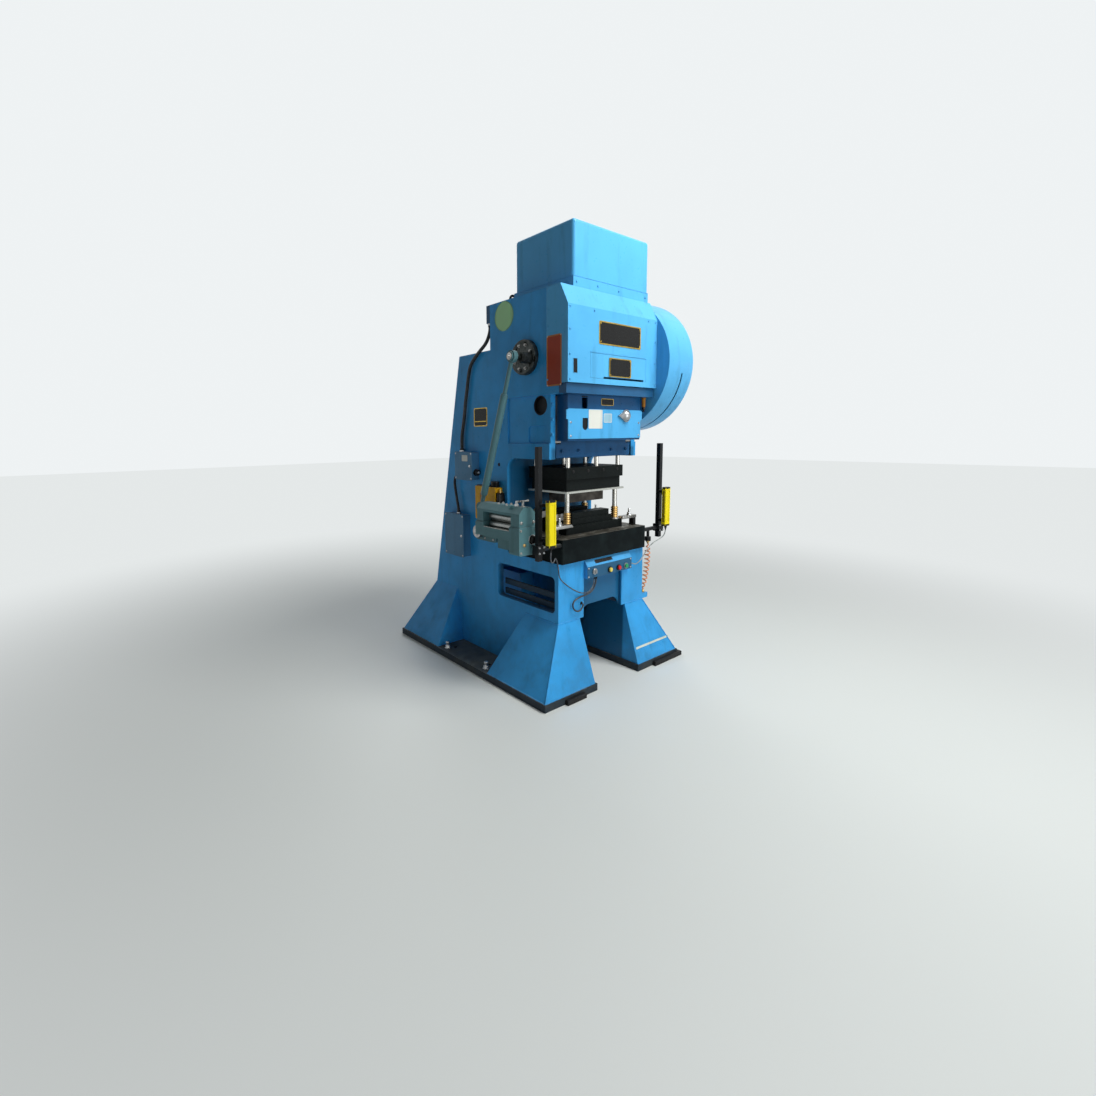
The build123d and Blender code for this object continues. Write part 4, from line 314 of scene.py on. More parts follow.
def on_spine(share):
    """Point on the hose's middle line at a share of its length, and the way it runs there."""
    wanted = share * reach[-1]
    step = next(i for i in range(1, len(reach)) if reach[i] >= wanted - 1e-9)
    part = (wanted - reach[step - 1]) / (reach[step] - reach[step - 1])
    way = (spine[step] - spine[step - 1]).normalized()
    return spine[step - 1].lerp(spine[step], part), way


coil_points = [tuple(spine[0])]
COIL_START = 0.06
for i in range(HOSE_TURNS * HOSE_STEPS + 1):
    share = i / (HOSE_TURNS * HOSE_STEPS)
    middle, way = on_spine(COIL_START + share * (1 - 2 * COIL_START))
    out = way.cross(Vector((0, 1, 0))).normalized()
    other = way.cross(out)
    turn = math.tau * i / HOSE_STEPS
    swell = min(1.0, 6 * share + 0.2, 6 * (1 - share) + 0.2)
    coil_points.append(tuple(middle + (out * math.cos(turn) + other * math.sin(turn)) * HOSE_COIL_R * swell))
coil_points.append(tuple(spine[-1]))
air_hose = cord_line("curly_air_hose", coil_points, HOSE_TUBE_R)
air_hose.data.bevel_resolution = 3
air_hose.data.resolution_u = 3
air_hose.data.materials.append(cord_finish("orange_hose", (0.62, 0.20, 0.075), (0.80, 0.32, 0.14), 0.28))
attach(air_hose, "frame")
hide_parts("air_hose")


# Base: two channel rails under the feet, painted dark and greasy, on blackened steel levelling
# blocks. Hexagon screws in the rails between the feet set the height.
def tint(colour, share, lift=0.0):
    return tuple(min(1.0, value * share + lift) for value in colour)


def rounded(finish, radius):
    """The normal with its edges rounded, and how far that turns it away from the face."""
    soft = finish.node("Bevel", {"Radius": radius}, samples=4)
    face = finish.node("NewGeometry", out="Normal")
    return soft, 1 - finish.node("VectorMath", {0: soft, 1: face}, out=1, operation="DOT_PRODUCT")


def enamel(name, colour, shade=0.75, dust=0.35, grime=0.0, rough=0.30, scuffs=0.35, edge=0.0025,
           shelter=None, deep=0.22):
    """Sprayed machine enamel with orange peel, dust on top faces, low grime and scuffed edges;
    shelter gives the share of painted shade, a darker tone that deep sets."""
    paint = Finish(name)
    tone = blend(paint, between(paint, cloud(paint, 2.3, 4), 0.3, 0.7), tint(colour, shade), colour)
    runs = between(paint, cloud(paint, 5.0, 4, stretch=(3.2, 3.2, 0.45)), 0.52, 0.72)
    tone = blend(paint, runs * 0.28, tone, tint(colour, 0.45))
    low = 1 - between(paint, along(paint, 2), 0.05, 0.75)
    smear = low * between(paint, cloud(paint, 7.0, 5, 0.65), 0.42, 0.68)
    tone = blend(paint, smear * grime, tone, (0.050, 0.056, 0.055))
    # Painted shade: where shelter gives a share, the colour darkens towards the paint's colour times deep.
    if shelter:
        tone = blend(paint, shelter(paint), tone, tint(colour, deep))
    facing = along(paint, 2, "NewGeometry", "Normal")
    dusty = between(paint, facing, 0.55, 0.95) * between(paint, cloud(paint, 9, 5), 0.25, 0.75)
    tone = blend(paint, dusty * dust, tone, (0.34, 0.37, 0.37))
    soft, bend = rounded(paint, edge)
    chip = between(paint, bend, 0.02, 0.16) * between(paint, cloud(paint, 38, 4, 0.7), 0.50, 0.62)
    tone = blend(paint, chip * scuffs, tone, (0.30, 0.33, 0.33))
    nick = between(paint, cloud(paint, 120, 2), 0.71, 0.76)
    tone = blend(paint, nick * scuffs, tone, tint(colour, 0.4, 0.02))
    gloss = cloud(paint, 55) * 0.16 + smear * 0.22 + dusty * 0.3 + (rough - 0.08)
    peel = bump(paint, 0.22, 0.0008, cloud(paint, 210, 2), soft)
    wave = bump(paint, 0.12, 0.004, cloud(paint, 6, 2), peel)
    return paint.closed(skin(paint, tone, gloss, wave, sheen=0.18))


def metal(name, dark, light, rough, grain=(1, 1, 1), metallic=1.0, oil=0.3, speck=0.2, depth=0.0006,
          bright=0.45, sheen=0.2):
    """Bare or blacked metal: tool marks drawn out along the grain, oil film and small stains."""
    bare = Finish(name)
    marks = cloud(bare, 60, 4, 0.6, stretch=grain)
    tone = blend(bare, between(bare, marks, 0.3, 0.7), dark, light)
    film = between(bare, cloud(bare, 6, 4, sway=0.6), 0.4, 0.72)
    tone = blend(bare, film * oil, tone, (dark[0] * 0.62, dark[1] * 0.54, dark[2] * 0.42))
    spots = between(bare, cloud(bare, 95, 3), 0.66, 0.76)
    tone = blend(bare, spots * speck, tone, (0.10, 0.055, 0.03))
    soft, bend = rounded(bare, 0.0012)
    tone = blend(bare, between(bare, bend, 0.02, 0.2) * bright, tone, tint(light, 1.5, 0.05))
    gloss = marks * 0.22 + film * (-0.10) + spots * 0.2 + (rough - 0.08)
    return bare.closed(skin(bare, tone, gloss, bump(bare, 0.5, depth, marks, soft), metallic, sheen))


def dress(finish, *nodes):
    """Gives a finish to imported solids."""
    for name in nodes:
        for holder in frame["nodes"][name].material_slots:
            holder.material = finish


def settled(name, *finishes):
    """Names the primitive just added, applies its place to its mesh and gives it its finishes."""
    piece = bpy.context.object
    piece.name = name
    bpy.ops.object.transform_apply(location=True, rotation=True, scale=True)
    for finish in finishes:
        piece.data.materials.append(finish)
    return piece


def chosen(piece, *others):
    """Leaves these pieces alone selected, the first one active."""
    bpy.ops.object.select_all(action="DESELECT")
    for each in (piece, *others):
        each.select_set(True)
    bpy.context.view_layer.objects.active = piece


def joined(piece, *others):
    chosen(piece, *others)
    bpy.ops.object.join()
    return piece


def shut():
    bpy.ops.object.mode_set(mode="OBJECT")


def slab(name, middle, size, *finishes, turn=(0, 0, 0)):
    """Block of a size round a middle."""
    bpy.ops.mesh.primitive_cube_add(size=1, location=middle, rotation=turn, scale=size)
    return settled(name, *finishes)


def pick(piece, kind, test):
    """Opens a piece with the faces (by centre and normal) or edges (by both ends) that pass a test."""
    chosen(piece)
    bpy.ops.object.mode_set(mode="EDIT")
    bpy.ops.mesh.select_mode(type=kind)
    bpy.ops.mesh.select_all(action="DESELECT")
    shut()
    if kind == "FACE":
        for face in piece.data.polygons:
            face.select = test(face.center, face.normal)
    else:
        for edge in piece.data.edges:
            edge.select = test(*(piece.data.vertices[i].co for i in edge.vertices))
    bpy.ops.object.mode_set(mode="EDIT")


def stepped(piece, way, *steps):
    """Insets the face that looks a way, in steps of margin and depth."""
    pick(piece, "FACE", lambda centre, normal: normal.dot(Vector(way)) > 0.9)
    for margin, depth in steps:
        bpy.ops.mesh.inset(thickness=margin, depth=depth)
    shut()
    return piece


def sloped(piece, test, width, turns):
    """Bevels the edges that pass a test."""
    pick(piece, "EDGE", test)
    bpy.ops.mesh.bevel(offset=width, segments=turns, affect="EDGES")
    shut()
    return piece


def softened(piece, width, turns=2):
    """Breaks the sharp edges."""
    chosen(piece)
    bevel = piece.modifiers.new("edges", "BEVEL")
    bevel.width = width
    bevel.segments = turns
    bevel.limit_method = "ANGLE"
    bevel.angle_limit = math.radians(30)
    bpy.ops.object.modifier_apply(modifier="edges")
    return piece


def fixed(piece, body="frame"):
    """Smooths a finished piece's rounds and fixes it to a body."""
    chosen(piece)
    bpy.ops.object.shade_smooth_by_angle(angle=math.radians(35))
    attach(piece, body)
    return piece


def repeated(piece, moves):
    """Copies a piece by each offset or matrix and joins the copies with it."""
    twins = []
    for move in moves:
        twin = piece.copy()
        twin.data = piece.data.copy()
        twin.data.transform(move if isinstance(move, Matrix) else Matrix.Translation(move))
        bpy.context.scene.collection.objects.link(twin)
        twins.append(twin)
    return joined(piece, *twins)


def spread(piece, places):
    """Repeats a piece that stands at the first place at the others."""
    return repeated(piece, [Vector(place) - Vector(places[0]) for place in places[1:]])


def grid(xs, ys, zs):
    """Every place that takes one of each coordinate; a lone number stands for itself."""
    xs, ys, zs = (axis if isinstance(axis, tuple) else (axis,) for axis in (xs, ys, zs))
    return [(x, y, z) for x in xs for y in ys for z in zs]


def turned(name, place, way, steps, *finishes, sides=24):
    """Turned piece that stands out from a place, in steps of radius and length, or of first radius,
    last radius and length."""
    way = Vector(way)
    steps = [step if len(step) == 3 else (step[0], *step) for step in steps]
    radius, last, length = steps[0]
    middle = Vector(place) + way * length / 2
    bpy.ops.mesh.primitive_cone_add(vertices=sides, radius1=radius, radius2=last, depth=length,
                                    location=middle,
                                    rotation=way.to_track_quat("Z", "Y").to_euler())
    piece = settled(name, *finishes)
    end = (Vector(place) + way * length).dot(way)
    pick(piece, "FACE", lambda centre, normal: normal.dot(way) > 0.9 and centre.dot(way) > end - 1e-5)
    for first, second, length in steps[1:]:
        bpy.ops.mesh.extrude_region_move(TRANSFORM_OT_translate={"value": (0, 0, 0)})
        bpy.ops.transform.resize(value=[first / last] * 3)
        bpy.ops.mesh.extrude_region_move(TRANSFORM_OT_translate={"value": way * length})
        if second != first:
            bpy.ops.transform.resize(value=[second / first] * 3)
        last = second
    shut()
    return piece


def lathe(name, place, way, steps, finish, soft, body="frame", sides=24, turns=2):
    """Turned piece with broken edges, fixed to a body."""
    return fixed(softened(turned(name, place, way, steps, finish, sides=sides), soft, turns), body)


def screws(name, way, radius, height, places, finish, body="frame", sides=6):
    """Screw heads on washers at several places: six sides for a spanner, or round with a socket."""
    head = [(radius * 1.3, 0.2 * height), (radius, height * 0.85), (radius, radius * 0.86, height * 0.15)]
    if sides > 6:
        head += [(radius * 0.5, -0.5 * height)]
    piece = softened(turned(name, places[0], way, head, finish, sides=sides), radius * 0.06, 1)
    return fixed(spread(piece, places), body)


rail_enamel = enamel("rail_enamel", (0.016, 0.028, 0.042), dust=0.25, grime=0.8, rough=0.45, scuffs=0.6)
dress(rail_enamel, "base_rails")
black_iron = metal("black_iron", (0.008, 0.008, 0.009), (0.022, 0.022, 0.023), 0.50, metallic=0.2,
                   bright=0.2)
dress(black_iron, "levelling_blocks")
zinc_steel = metal("zinc_steel", (0.34, 0.35, 0.36), (0.52, 0.53, 0.54), 0.32, oil=0.2, depth=0.0003)
RAIL_TOP = 0.045
LEVEL_SPOTS = grid((-0.610, 0.610), (-0.235, 0.225), RAIL_TOP)
jacks = turned("levelling_screws", LEVEL_SPOTS[0], (0, 0, 1),
               [(0.026, 0.004), (0.019, 0.016), (0.010, 0.012), (0.015, 0.014)], zinc_steel, sides=6)
fixed(spread(softened(jacks, 0.0008), LEVEL_SPOTS))

# Frame: thick steel plates cut to a gap frame, welded to four flared feet, filled and sprayed
# with gloss blue enamel. Weld beads run where the feet meet the bed and the rails.
def recess_shade(paint):
    """Painted shade in the throat, under the bed and on the set-back front panel, where little light
    reaches.
    """
    across, depth, height = (along(paint, axis) for axis in range(3))
    between_plates = 1 - between(paint, across.reckon("ABSOLUTE", across), 0.385, 0.4195)
    behind_front = between(paint, depth, -0.7195, -0.702) * (1 - between(paint, depth, 0.10, 0.35))
    return between_plates * behind_front * (1 - between(paint, height, 1.50, 1.53)) * 0.85


# The frame's enamel darkens as painted shade in the throat, under the bed and on the set-back front panel.
frame_enamel = enamel("frame_enamel", (0.042, 0.375, 0.82), grime=0.2, shelter=recess_shade)
dress(frame_enamel, "left_side_plate", "right_side_plate", "bed_front_panel", "table_plate", "throat_plate",
      "rear_plate", "front_feet", "rear_feet")
# The crown box takes a darker copy of the frame's blue: painted shade under the crown cover's overhang.
crown_shade_enamel = enamel("crown_shade_enamel", (0.022, 0.115, 0.26), dust=0.2)
dress(crown_shade_enamel, "crown_box")
BEAD_R = 0.0042
LEG_TOP = 0.435


def bead(name, start, stop):
    """Weld bead: a round bar with swells where each pass of the rod stopped."""
    start, stop = Vector(start), Vector(stop)
    way = (stop - start).normalized()
    passes = max(3, round((stop - start).length / 0.045))
    step = (stop - start).length / passes / 2
    swells = [(BEAD_R * 0.8, BEAD_R * 1.1, step), (BEAD_R * 1.1, BEAD_R * 0.8, step)] * passes
    return turned(name, start, way, swells, frame_enamel, sides=10)


for name, side in (("left_foot_welds", -1), ("right_foot_welds", 1)):
    corner, inner, back = ((side * x, y, LEG_TOP) for x,
                           y in ((0.420, -0.720), (0.226, -0.720), (0.420, -0.420)))
    toe, toe_inner, heel = ((side * x, y, RAIL_TOP) for x,
                            y in ((0.654, -0.845), (0.218, -0.845), (0.654, -0.300)))
    seams = ((corner, back), (corner, toe), (toe, toe_inner), (toe, heel))
    fixed(joined(bead(name, corner, inner), *(bead("bead", *ends) for ends in seams)))
tape = enamel("worn_tape", (0.66, 0.72, 0.62), shade=0.8, dust=0.1, rough=0.5, scuffs=0.5, edge=0.0003)
SLOPE = math.atan2(0.125, 0.390)
TAPE_Z = 0.142
tape_middle = Vector((0.424, -0.845 + (TAPE_Z - RAIL_TOP) * math.tan(SLOPE) - 0.0006, TAPE_Z))
strip = slab("foot_tape", tape_middle, (0.372, 0.0008, 0.014), tape, turn=(-SLOPE, 0, 0))
pick(strip, "FACE", lambda centre, normal: abs(normal.x) < 0.1)
bpy.ops.mesh.subdivide(number_cuts=6)
shut()
fixed(softened(strip, 0.0002, 1))
window_iron = enamel("window_iron", (0.016, 0.040, 0.070), dust=0.2, rough=0.5)
for name, x in (("left_window_rails", -0.369), ("right_window_rails", 0.357)):
    rails = slab(name, (x + 0.006, -0.415, 0.590), (0.012, 0.520, 0.040), window_iron)
    stepped(rails, (0, 0, 1), (0.003, -0.012))
    repeated(softened(rails, 0.0008), [(0, 0, -0.068)])
    fixed(rails)
deep_black = enamel("deep_black", (0.006, 0.007, 0.009), dust=0.0, rough=0.6, scuffs=0.1)
# The jaw bores are lined with near-black cups: painted shade for the dark inside the holes.
JAW_HOLE = (0.412, -0.552, 1.778)
for name, side in (("left_jaw_bore", -1), ("right_jaw_bore", 1)):
    place = (side * 0.382, JAW_HOLE[1], JAW_HOLE[2])
    bore = turned(name, place, (side, 0, 0), [(0.0592, 0.026), (0.054, -0.022)], deep_black, sides=48)
    fixed(bore)

# Plates on the frame's left side: thin anodised, enamelled and printed sheets, riveted flat,
# all of them bare here. The round one is pale green, the tall one red, the others black and gold.
gold_rim = metal("gold_rim", (0.46, 0.30, 0.05), (0.62, 0.44, 0.10), 0.34, oil=0.2, depth=0.0002)
black_plate = enamel("black_plate", (0.010, 0.010, 0.010), dust=0.05, rough=0.26, scuffs=0.12, edge=0.0004)


def plaque(name, low, high, way, rim, face_finish, rim_finish, body="frame", step=0.0005):
    """Thin plate with a raised rim around a bare field, fixed to a body."""
    way = Vector(way)
    size = [max(b - a, 0.0001) for a, b in zip(low, high)]
    piece = slab(name, [(a + b) / 2 for a, b in zip(low, high)], size, rim_finish, face_finish)
    across = min(edge for edge, out in zip(size, way) if abs(out) < 0.5)
    sloped(piece, lambda a, b: abs((a - b).normalized().dot(way)) > 0.9,
           max(rim * 1.4, min(0.006, across * 0.12)), 3)
    pick(piece, "FACE", lambda centre, normal: normal.dot(way) > 0.9)
    bpy.ops.mesh.inset(thickness=rim)
    bpy.ops.mesh.inset(thickness=step, depth=-step)
    piece.active_material_index = 1
    bpy.ops.object.material_slot_assign()
    shut()
    return fixed(piece, body)


def corners(low, high, way, inset):
    """Places near the four corners of a plate's outer face."""
    axis = max(range(3), key=lambda i: abs(way[i]))
    outer = (low if way[axis] < 0 else high)[axis]
    first, second = (i for i in range(3) if i != axis)
    spots = []
    for a in (low[first] + inset, high[first] - inset):
        for b in (low[second] + inset, high[second] - inset):
            spot = [0, 0, 0]
            spot[axis], spot[first], spot[second] = outer, a, b
            spots.append(tuple(spot))
    return spots


LEFT = (-1, 0, 0)
FRONT = (0, -1, 0)
red_field = enamel("red_field", (0.46, 0.060, 0.026), shade=0.6, dust=0.1, rough=0.42, scuffs=0.7,
                   edge=0.0004)
red_rim = enamel("red_rim", (0.56, 0.22, 0.07), shade=0.7, dust=0.1, rough=0.42, scuffs=0.7, edge=0.0004)
RED_LOW, RED_HIGH = (-0.4285, -0.748, 1.885), (-0.4262, -0.626, 2.180)
plaque("red_plate", RED_LOW, RED_HIGH, LEFT, 0.008, red_field, red_rim)
screws("red_plate_rivets", LEFT, 0.0028, 0.0018, corners(RED_LOW, RED_HIGH, LEFT, 0.006), zinc_steel,
       sides=12)
OIL_LOW, OIL_HIGH = (-0.4222, -0.037, 1.663), (-0.4202, 0.114, 1.791)
plaque("oil_plate", OIL_LOW, OIL_HIGH, LEFT, 0.005, black_plate, gold_rim)
screws("oil_plate_rivets", LEFT, 0.0028, 0.0018, corners(OIL_LOW, OIL_HIGH, LEFT, 0.009), zinc_steel,
       sides=12)
plaque("oil_plate_line", (-0.4226, -0.026, 1.694), (-0.4216, 0.103, 1.700), LEFT, 0.001, gold_rim, gold_rim)
green_field = enamel("green_field", (0.46, 0.80, 0.43), shade=0.9, dust=0.05, rough=0.4, scuffs=0.2,
                     edge=0.0004)
green_rim = enamel("green_rim", (0.24, 0.48, 0.24), shade=0.9, dust=0.05, rough=0.4, scuffs=0.3, edge=0.0004)
disc = turned("round_plate", (-0.4201, -0.225, 2.366), LEFT, [(0.0935, 0.0018), (0.088, -0.0004)], green_rim,
              green_field, sides=72)
pick(disc, "FACE", lambda centre, normal: normal.x < -0.9 and abs(centre.y + 0.225) < 0.02)
disc.active_material_index = 1
bpy.ops.object.material_slot_assign()
shut()
fixed(disc)

# Crank train: a turned crankshaft in bronze bushes, the connecting rod with its ball screw, and the
# clutch. On the left end sits the slotted disc whose pin drives the feeder.
turned_steel = metal("turned_steel", (0.26, 0.26, 0.26), (0.44, 0.43, 0.41), 0.34, grain=(12, 1, 1))
dress(turned_steel, "crankshaft", "ball_screw")
bronze = metal("bronze", (0.42, 0.26, 0.09), (0.62, 0.42, 0.17), 0.32, grain=(10, 1, 1))
dress(bronze, "main_bushes")
dress(black_iron, "connecting_rod", "clutch_unit")
disc_iron = metal("disc_iron", (0.020, 0.024, 0.024), (0.070, 0.078, 0.075), 0.36, metallic=0.6, oil=0.5)
dress(disc_iron, "feed_disc")
DISC_FACE = -0.4552
DISC_Y, DISC_Z = -0.440, 2.078
lathe("disc_rim_ring", (DISC_FACE, DISC_Y, DISC_Z), LEFT,
      [(0.104, 0.003), (0.098, 0.0), (0.092, 0.090, -0.002)], disc_iron, 0.0006, "crankshaft",
      sides=96)
bolt_places = [(DISC_FACE, DISC_Y + 0.076 * math.cos(math.tau * (i + 0.5) / 8),
                DISC_Z + 0.076 * math.sin(math.tau * (i + 0.5) / 8))
               for i in range(8)]
screws("disc_screws", LEFT, 0.0075, 0.009, bolt_places, turned_steel, "crankshaft", sides=12)

# Drive: a cast flywheel with a bright turned rim, the belt from a finned motor on the column's
# shoulder, and a sheet guard round both, pressed to a dish with a round cap, screws and air slots.
dress(black_iron, "flywheel", "drive_pulley")
belt_rubber = metal("belt_rubber", (0.012, 0.012, 0.012), (0.030, 0.030, 0.030), 0.62, metallic=0.0,
                    bright=0.05)
dress(belt_rubber, "drive_belt")
motor_enamel = enamel("motor_enamel", (0.060, 0.19, 0.34), dust=0.4, rough=0.4)
dress(motor_enamel, "drive_motor")
cover_enamel = enamel("cover_enamel", (0.100, 0.450, 0.82), shade=0.88, dust=0.2, scuffs=0.15)
dress(cover_enamel, "flywheel_guard")
RIGHT = (1, 0, 0)
WHEEL_Y, WHEEL_Z = -0.440, 2.078
GUARD_FACE = 0.727
lathe("flywheel_rim_band", (0.4805, WHEEL_Y, WHEEL_Z), RIGHT, [(0.4065, 0.129), (0.345, -0.001)],
      turned_steel, 0.001, "flywheel", sides=128)
DISH_R = 0.330
DISH_DEPTH = 0.0065
GUARD_WALL = 0.004
guard = frame["nodes"]["flywheel_guard"].copy()
guard.data = guard.data.copy()
guard.name = "pressed_guard"
bpy.context.scene.collection.objects.link(guard)
chosen(guard)
bpy.ops.object.mode_set(mode="EDIT")
bpy.ops.mesh.select_all(action="SELECT")
bpy.ops.mesh.remove_doubles(threshold=0.00002)
bpy.ops.mesh.dissolve_limited(angle_limit=math.radians(0.4))
shut()
for side, wall in ((1, 0), (-1, GUARD_WALL)):
    pick(guard, "FACE",
         lambda centre, normal: normal.x * side > 0.999 and abs(centre.x - GUARD_FACE + wall) < 0.0005)
    flat = max(abs(guard.data.vertices[i].co.z - WHEEL_Z) for face in guard.data.polygons
               if face.normal.x * side > 0.999 and abs(face.center.x - GUARD_FACE + wall) < 0.0005
               for i in face.vertices)
    bpy.ops.mesh.inset(thickness=flat - DISH_R - wall)
    bpy.ops.mesh.inset(thickness=DISH_DEPTH, depth=-side * DISH_DEPTH)
    shut()
fixed(guard)
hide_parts("flywheel_guard")
DISH_FACE = GUARD_FACE - DISH_DEPTH
CAP_R = 0.120
lathe("guard_cap", (DISH_FACE - 0.0005, WHEEL_Y, WHEEL_Z), RIGHT,
      [(CAP_R, 0.0042), (0.088, 0.086, -0.0020), (0.052, 0.046, 0.0030)], cover_enamel, 0.0008,
      sides=72)


def round_wheel(radius, count):
    """Places on a circle round the flywheel's axis, on the guard's dish."""
    angles = [math.tau * (i + 0.5) / count for i in range(count)]
    return [(DISH_FACE, WHEEL_Y + radius * math.cos(a), WHEEL_Z + radius * math.sin(a)) for a in angles]


screws("guard_dish_screws", RIGHT, 0.0075, 0.0036, round_wheel(DISH_R - 0.024, 16), zinc_steel,
       sides=16)
# The guard's air slots are drawn as near-black patches: painted shade for the openings.
slot_shade_black = enamel("slot_shade_black", (0.010, 0.014, 0.018), dust=0.1, rough=0.6)
VENT_R = 0.205
for i, (x, y, z) in enumerate(round_wheel(VENT_R, 6)):
    vent = slab(f"guard_vent_{i}", (DISH_FACE + 0.0002, y, z), (0.0016, 0.010, 0.110), slot_shade_black)
    sloped(vent, lambda a, b: abs(a.x - b.x) > 0.001, 0.0045, 4)
    stepped(vent, RIGHT, (0.0012, 0), (0.0004, -0.0006))
    fixed(repeated(vent, [(0, 0.024 * k, 0) for k in (-1, 1)]))
seam_places = [(0.440, WHEEL_Y + 0.4552 * math.cos(a), WHEEL_Z + 0.4552 * math.sin(a))
               for a in (math.radians(d) for d in (60, 85, 110, 135, 225, 250, 275))]
for i, (x, y, z) in enumerate(seam_places):
    out = Vector((0, y - WHEEL_Y, z - WHEEL_Z)).normalized()
    rivet = turned(f"guard_rivet_{i}", (x, y, z), out, [(0.0055, 0.001), (0.0048, 0.0028, 0.0025)],
                   cover_enamel, sides=12)
    fixed(rivet)

# Crown cover: bent sheet over the crank with a slanted top, a lifting hatch, screws along its
# edges and two bare black plates with gold rims. An oil fitting hangs from the crown's lip.
dress(cover_enamel, "crown_front_cover", "cover_hatch")
COVER_FRONT = -0.796
cover_screws = grid((-0.408, 0.408), COVER_FRONT, (1.918, 2.060, 2.200, 2.326))
cover_screws += grid((-0.200, 0.330), COVER_FRONT, 2.326)
screws("cover_screws", FRONT, 0.0052, 0.0032, cover_screws, cover_enamel, sides=16)
flange_screws = grid(-0.426, -0.634, (1.925, 2.230, 2.330, 2.440))
screws("cover_flange_screws", LEFT, 0.0060, 0.0036, flange_screws, cover_enamel)
plaque("crown_plate", (-0.158, COVER_FRONT - 0.0022, 2.137), (0.248, COVER_FRONT - 0.0002, 2.275), FRONT,
       0.0065, black_plate, gold_rim, step=0.0008)
screws("crown_plate_rivets", FRONT, 0.0034, 0.0022,
       corners((-0.158, COVER_FRONT - 0.0022, 2.137), (0.248, COVER_FRONT, 2.275), FRONT, 0.014), gold_rim,
       sides=12)
HATCH_FRONT = -0.799
plaque("hatch_plate", (-0.063, HATCH_FRONT - 0.0022, 1.949), (0.149, HATCH_FRONT - 0.0002, 2.064), FRONT,
       0.005, black_plate, gold_rim, "cover_hatch", step=0.0008)
screws("hatch_plate_rivets", FRONT, 0.0030, 0.0020,
       corners((-0.063, HATCH_FRONT - 0.0022, 1.949), (0.149, HATCH_FRONT, 2.064), FRONT, 0.012), gold_rim,
       "cover_hatch", sides=12)
# The vent slot's field is near-black: painted shade for the opening.
plaque("vent_slot_frame", (-0.382, COVER_FRONT - 0.0014, 1.953), (-0.344, COVER_FRONT - 0.0001, 2.040),
       FRONT, 0.0025, deep_black, cover_enamel)
amber = enamel("amber_fitting", (0.62, 0.25, 0.030), shade=0.6, dust=0.1, rough=0.3, edge=0.0006)
lathe("lip_fitting", (0.395, -0.722, 1.8395), (0, 0, -1), [(0.015, 0.008), (0.0125, 0.050), (0.009, 0.006)],
      amber, 0.0008, sides=20)
lathe("lip_fitting_nipple", (0.395, -0.722, 1.7755), (0, 0, -1), [(0.013, 0.014), (0.008, 0.007, 0.016)],
      black_plate, 0.0006, sides=6)

# Roof: a folded base frame and a deep sheet hood over the crank's oil tank, with a bead at its
# seam, hexagon screws in the base, and two forged lifting eyes behind it.
dress(cover_enamel, "roof_base", "roof_hood")
ROOF_LOW, ROOF_HIGH = (-0.318, -0.735, 2.464), (0.400, -0.210, 2.524)
base_screws = grid((-0.290, -0.100, 0.100, 0.372), ROOF_LOW[1], 2.492)
screws("roof_screws", FRONT, 0.0062, 0.0038, base_screws, cover_enamel)
side_screws = grid(ROOF_LOW[0], (-0.690, -0.470, -0.250), 2.492)
screws("roof_side_screws", LEFT, 0.0062, 0.0038, side_screws, cover_enamel)
plaque("roof_seam", (ROOF_LOW[0] - 0.0016, ROOF_LOW[1] - 0.0016, 2.5215),
       (ROOF_HIGH[0] + 0.0016, -0.2085, 2.5245), (0, 0, 1), 0.004, cover_enamel, cover_enamel)
EYES = [(-0.250, -0.120, 2.464), (0.250, -0.120, 2.464)]
lift_eye = turned("lifting_eyes", EYES[0], (0, 0, 1), [(0.030, 0.006), (0.017, 0.014, 0.020)], black_iron,
                  sides=24)
bpy.ops.mesh.primitive_torus_add(major_radius=0.026, minor_radius=0.0085, major_segments=40,
                                 minor_segments=14,
                                 location=(EYES[0][0], EYES[0][1],
                                           EYES[0][2] + 0.050), rotation=(math.pi / 2, 0, 0))
hoop = settled("hoop", black_iron)
joined(lift_eye, hoop)
repeated(lift_eye, [Vector(EYES[1]) - Vector(EYES[0])])
fixed(lift_eye)

# Slide: a hollow casting in bolted gibs, behind a dark sheet housing and a pale blue cover that
# carries the height knob, two hand slots and bare printed labels.
# The slide and its housing take a dark blue that is partly their own paint and partly painted shade under
# the crown cover's overhang.
slide_enamel = enamel("slide_enamel", (0.008, 0.088, 0.235), dust=0.15)
dress(slide_enamel, "slide", "slide_housing")
dress(turned_steel, "slide_gibs")
pale_enamel = enamel("pale_enamel", (0.080, 0.420, 0.80), shade=0.9, dust=0.1, scuffs=0.15)
dress(pale_enamel, "slide_cover")
knob_chrome = metal("knob_chrome", (0.30, 0.31, 0.32), (0.46, 0.47, 0.48), 0.30, grain=(1, 20, 1), oil=0.3)
dress(knob_chrome, "cover_knob")
SLIDE_COVER = -0.731
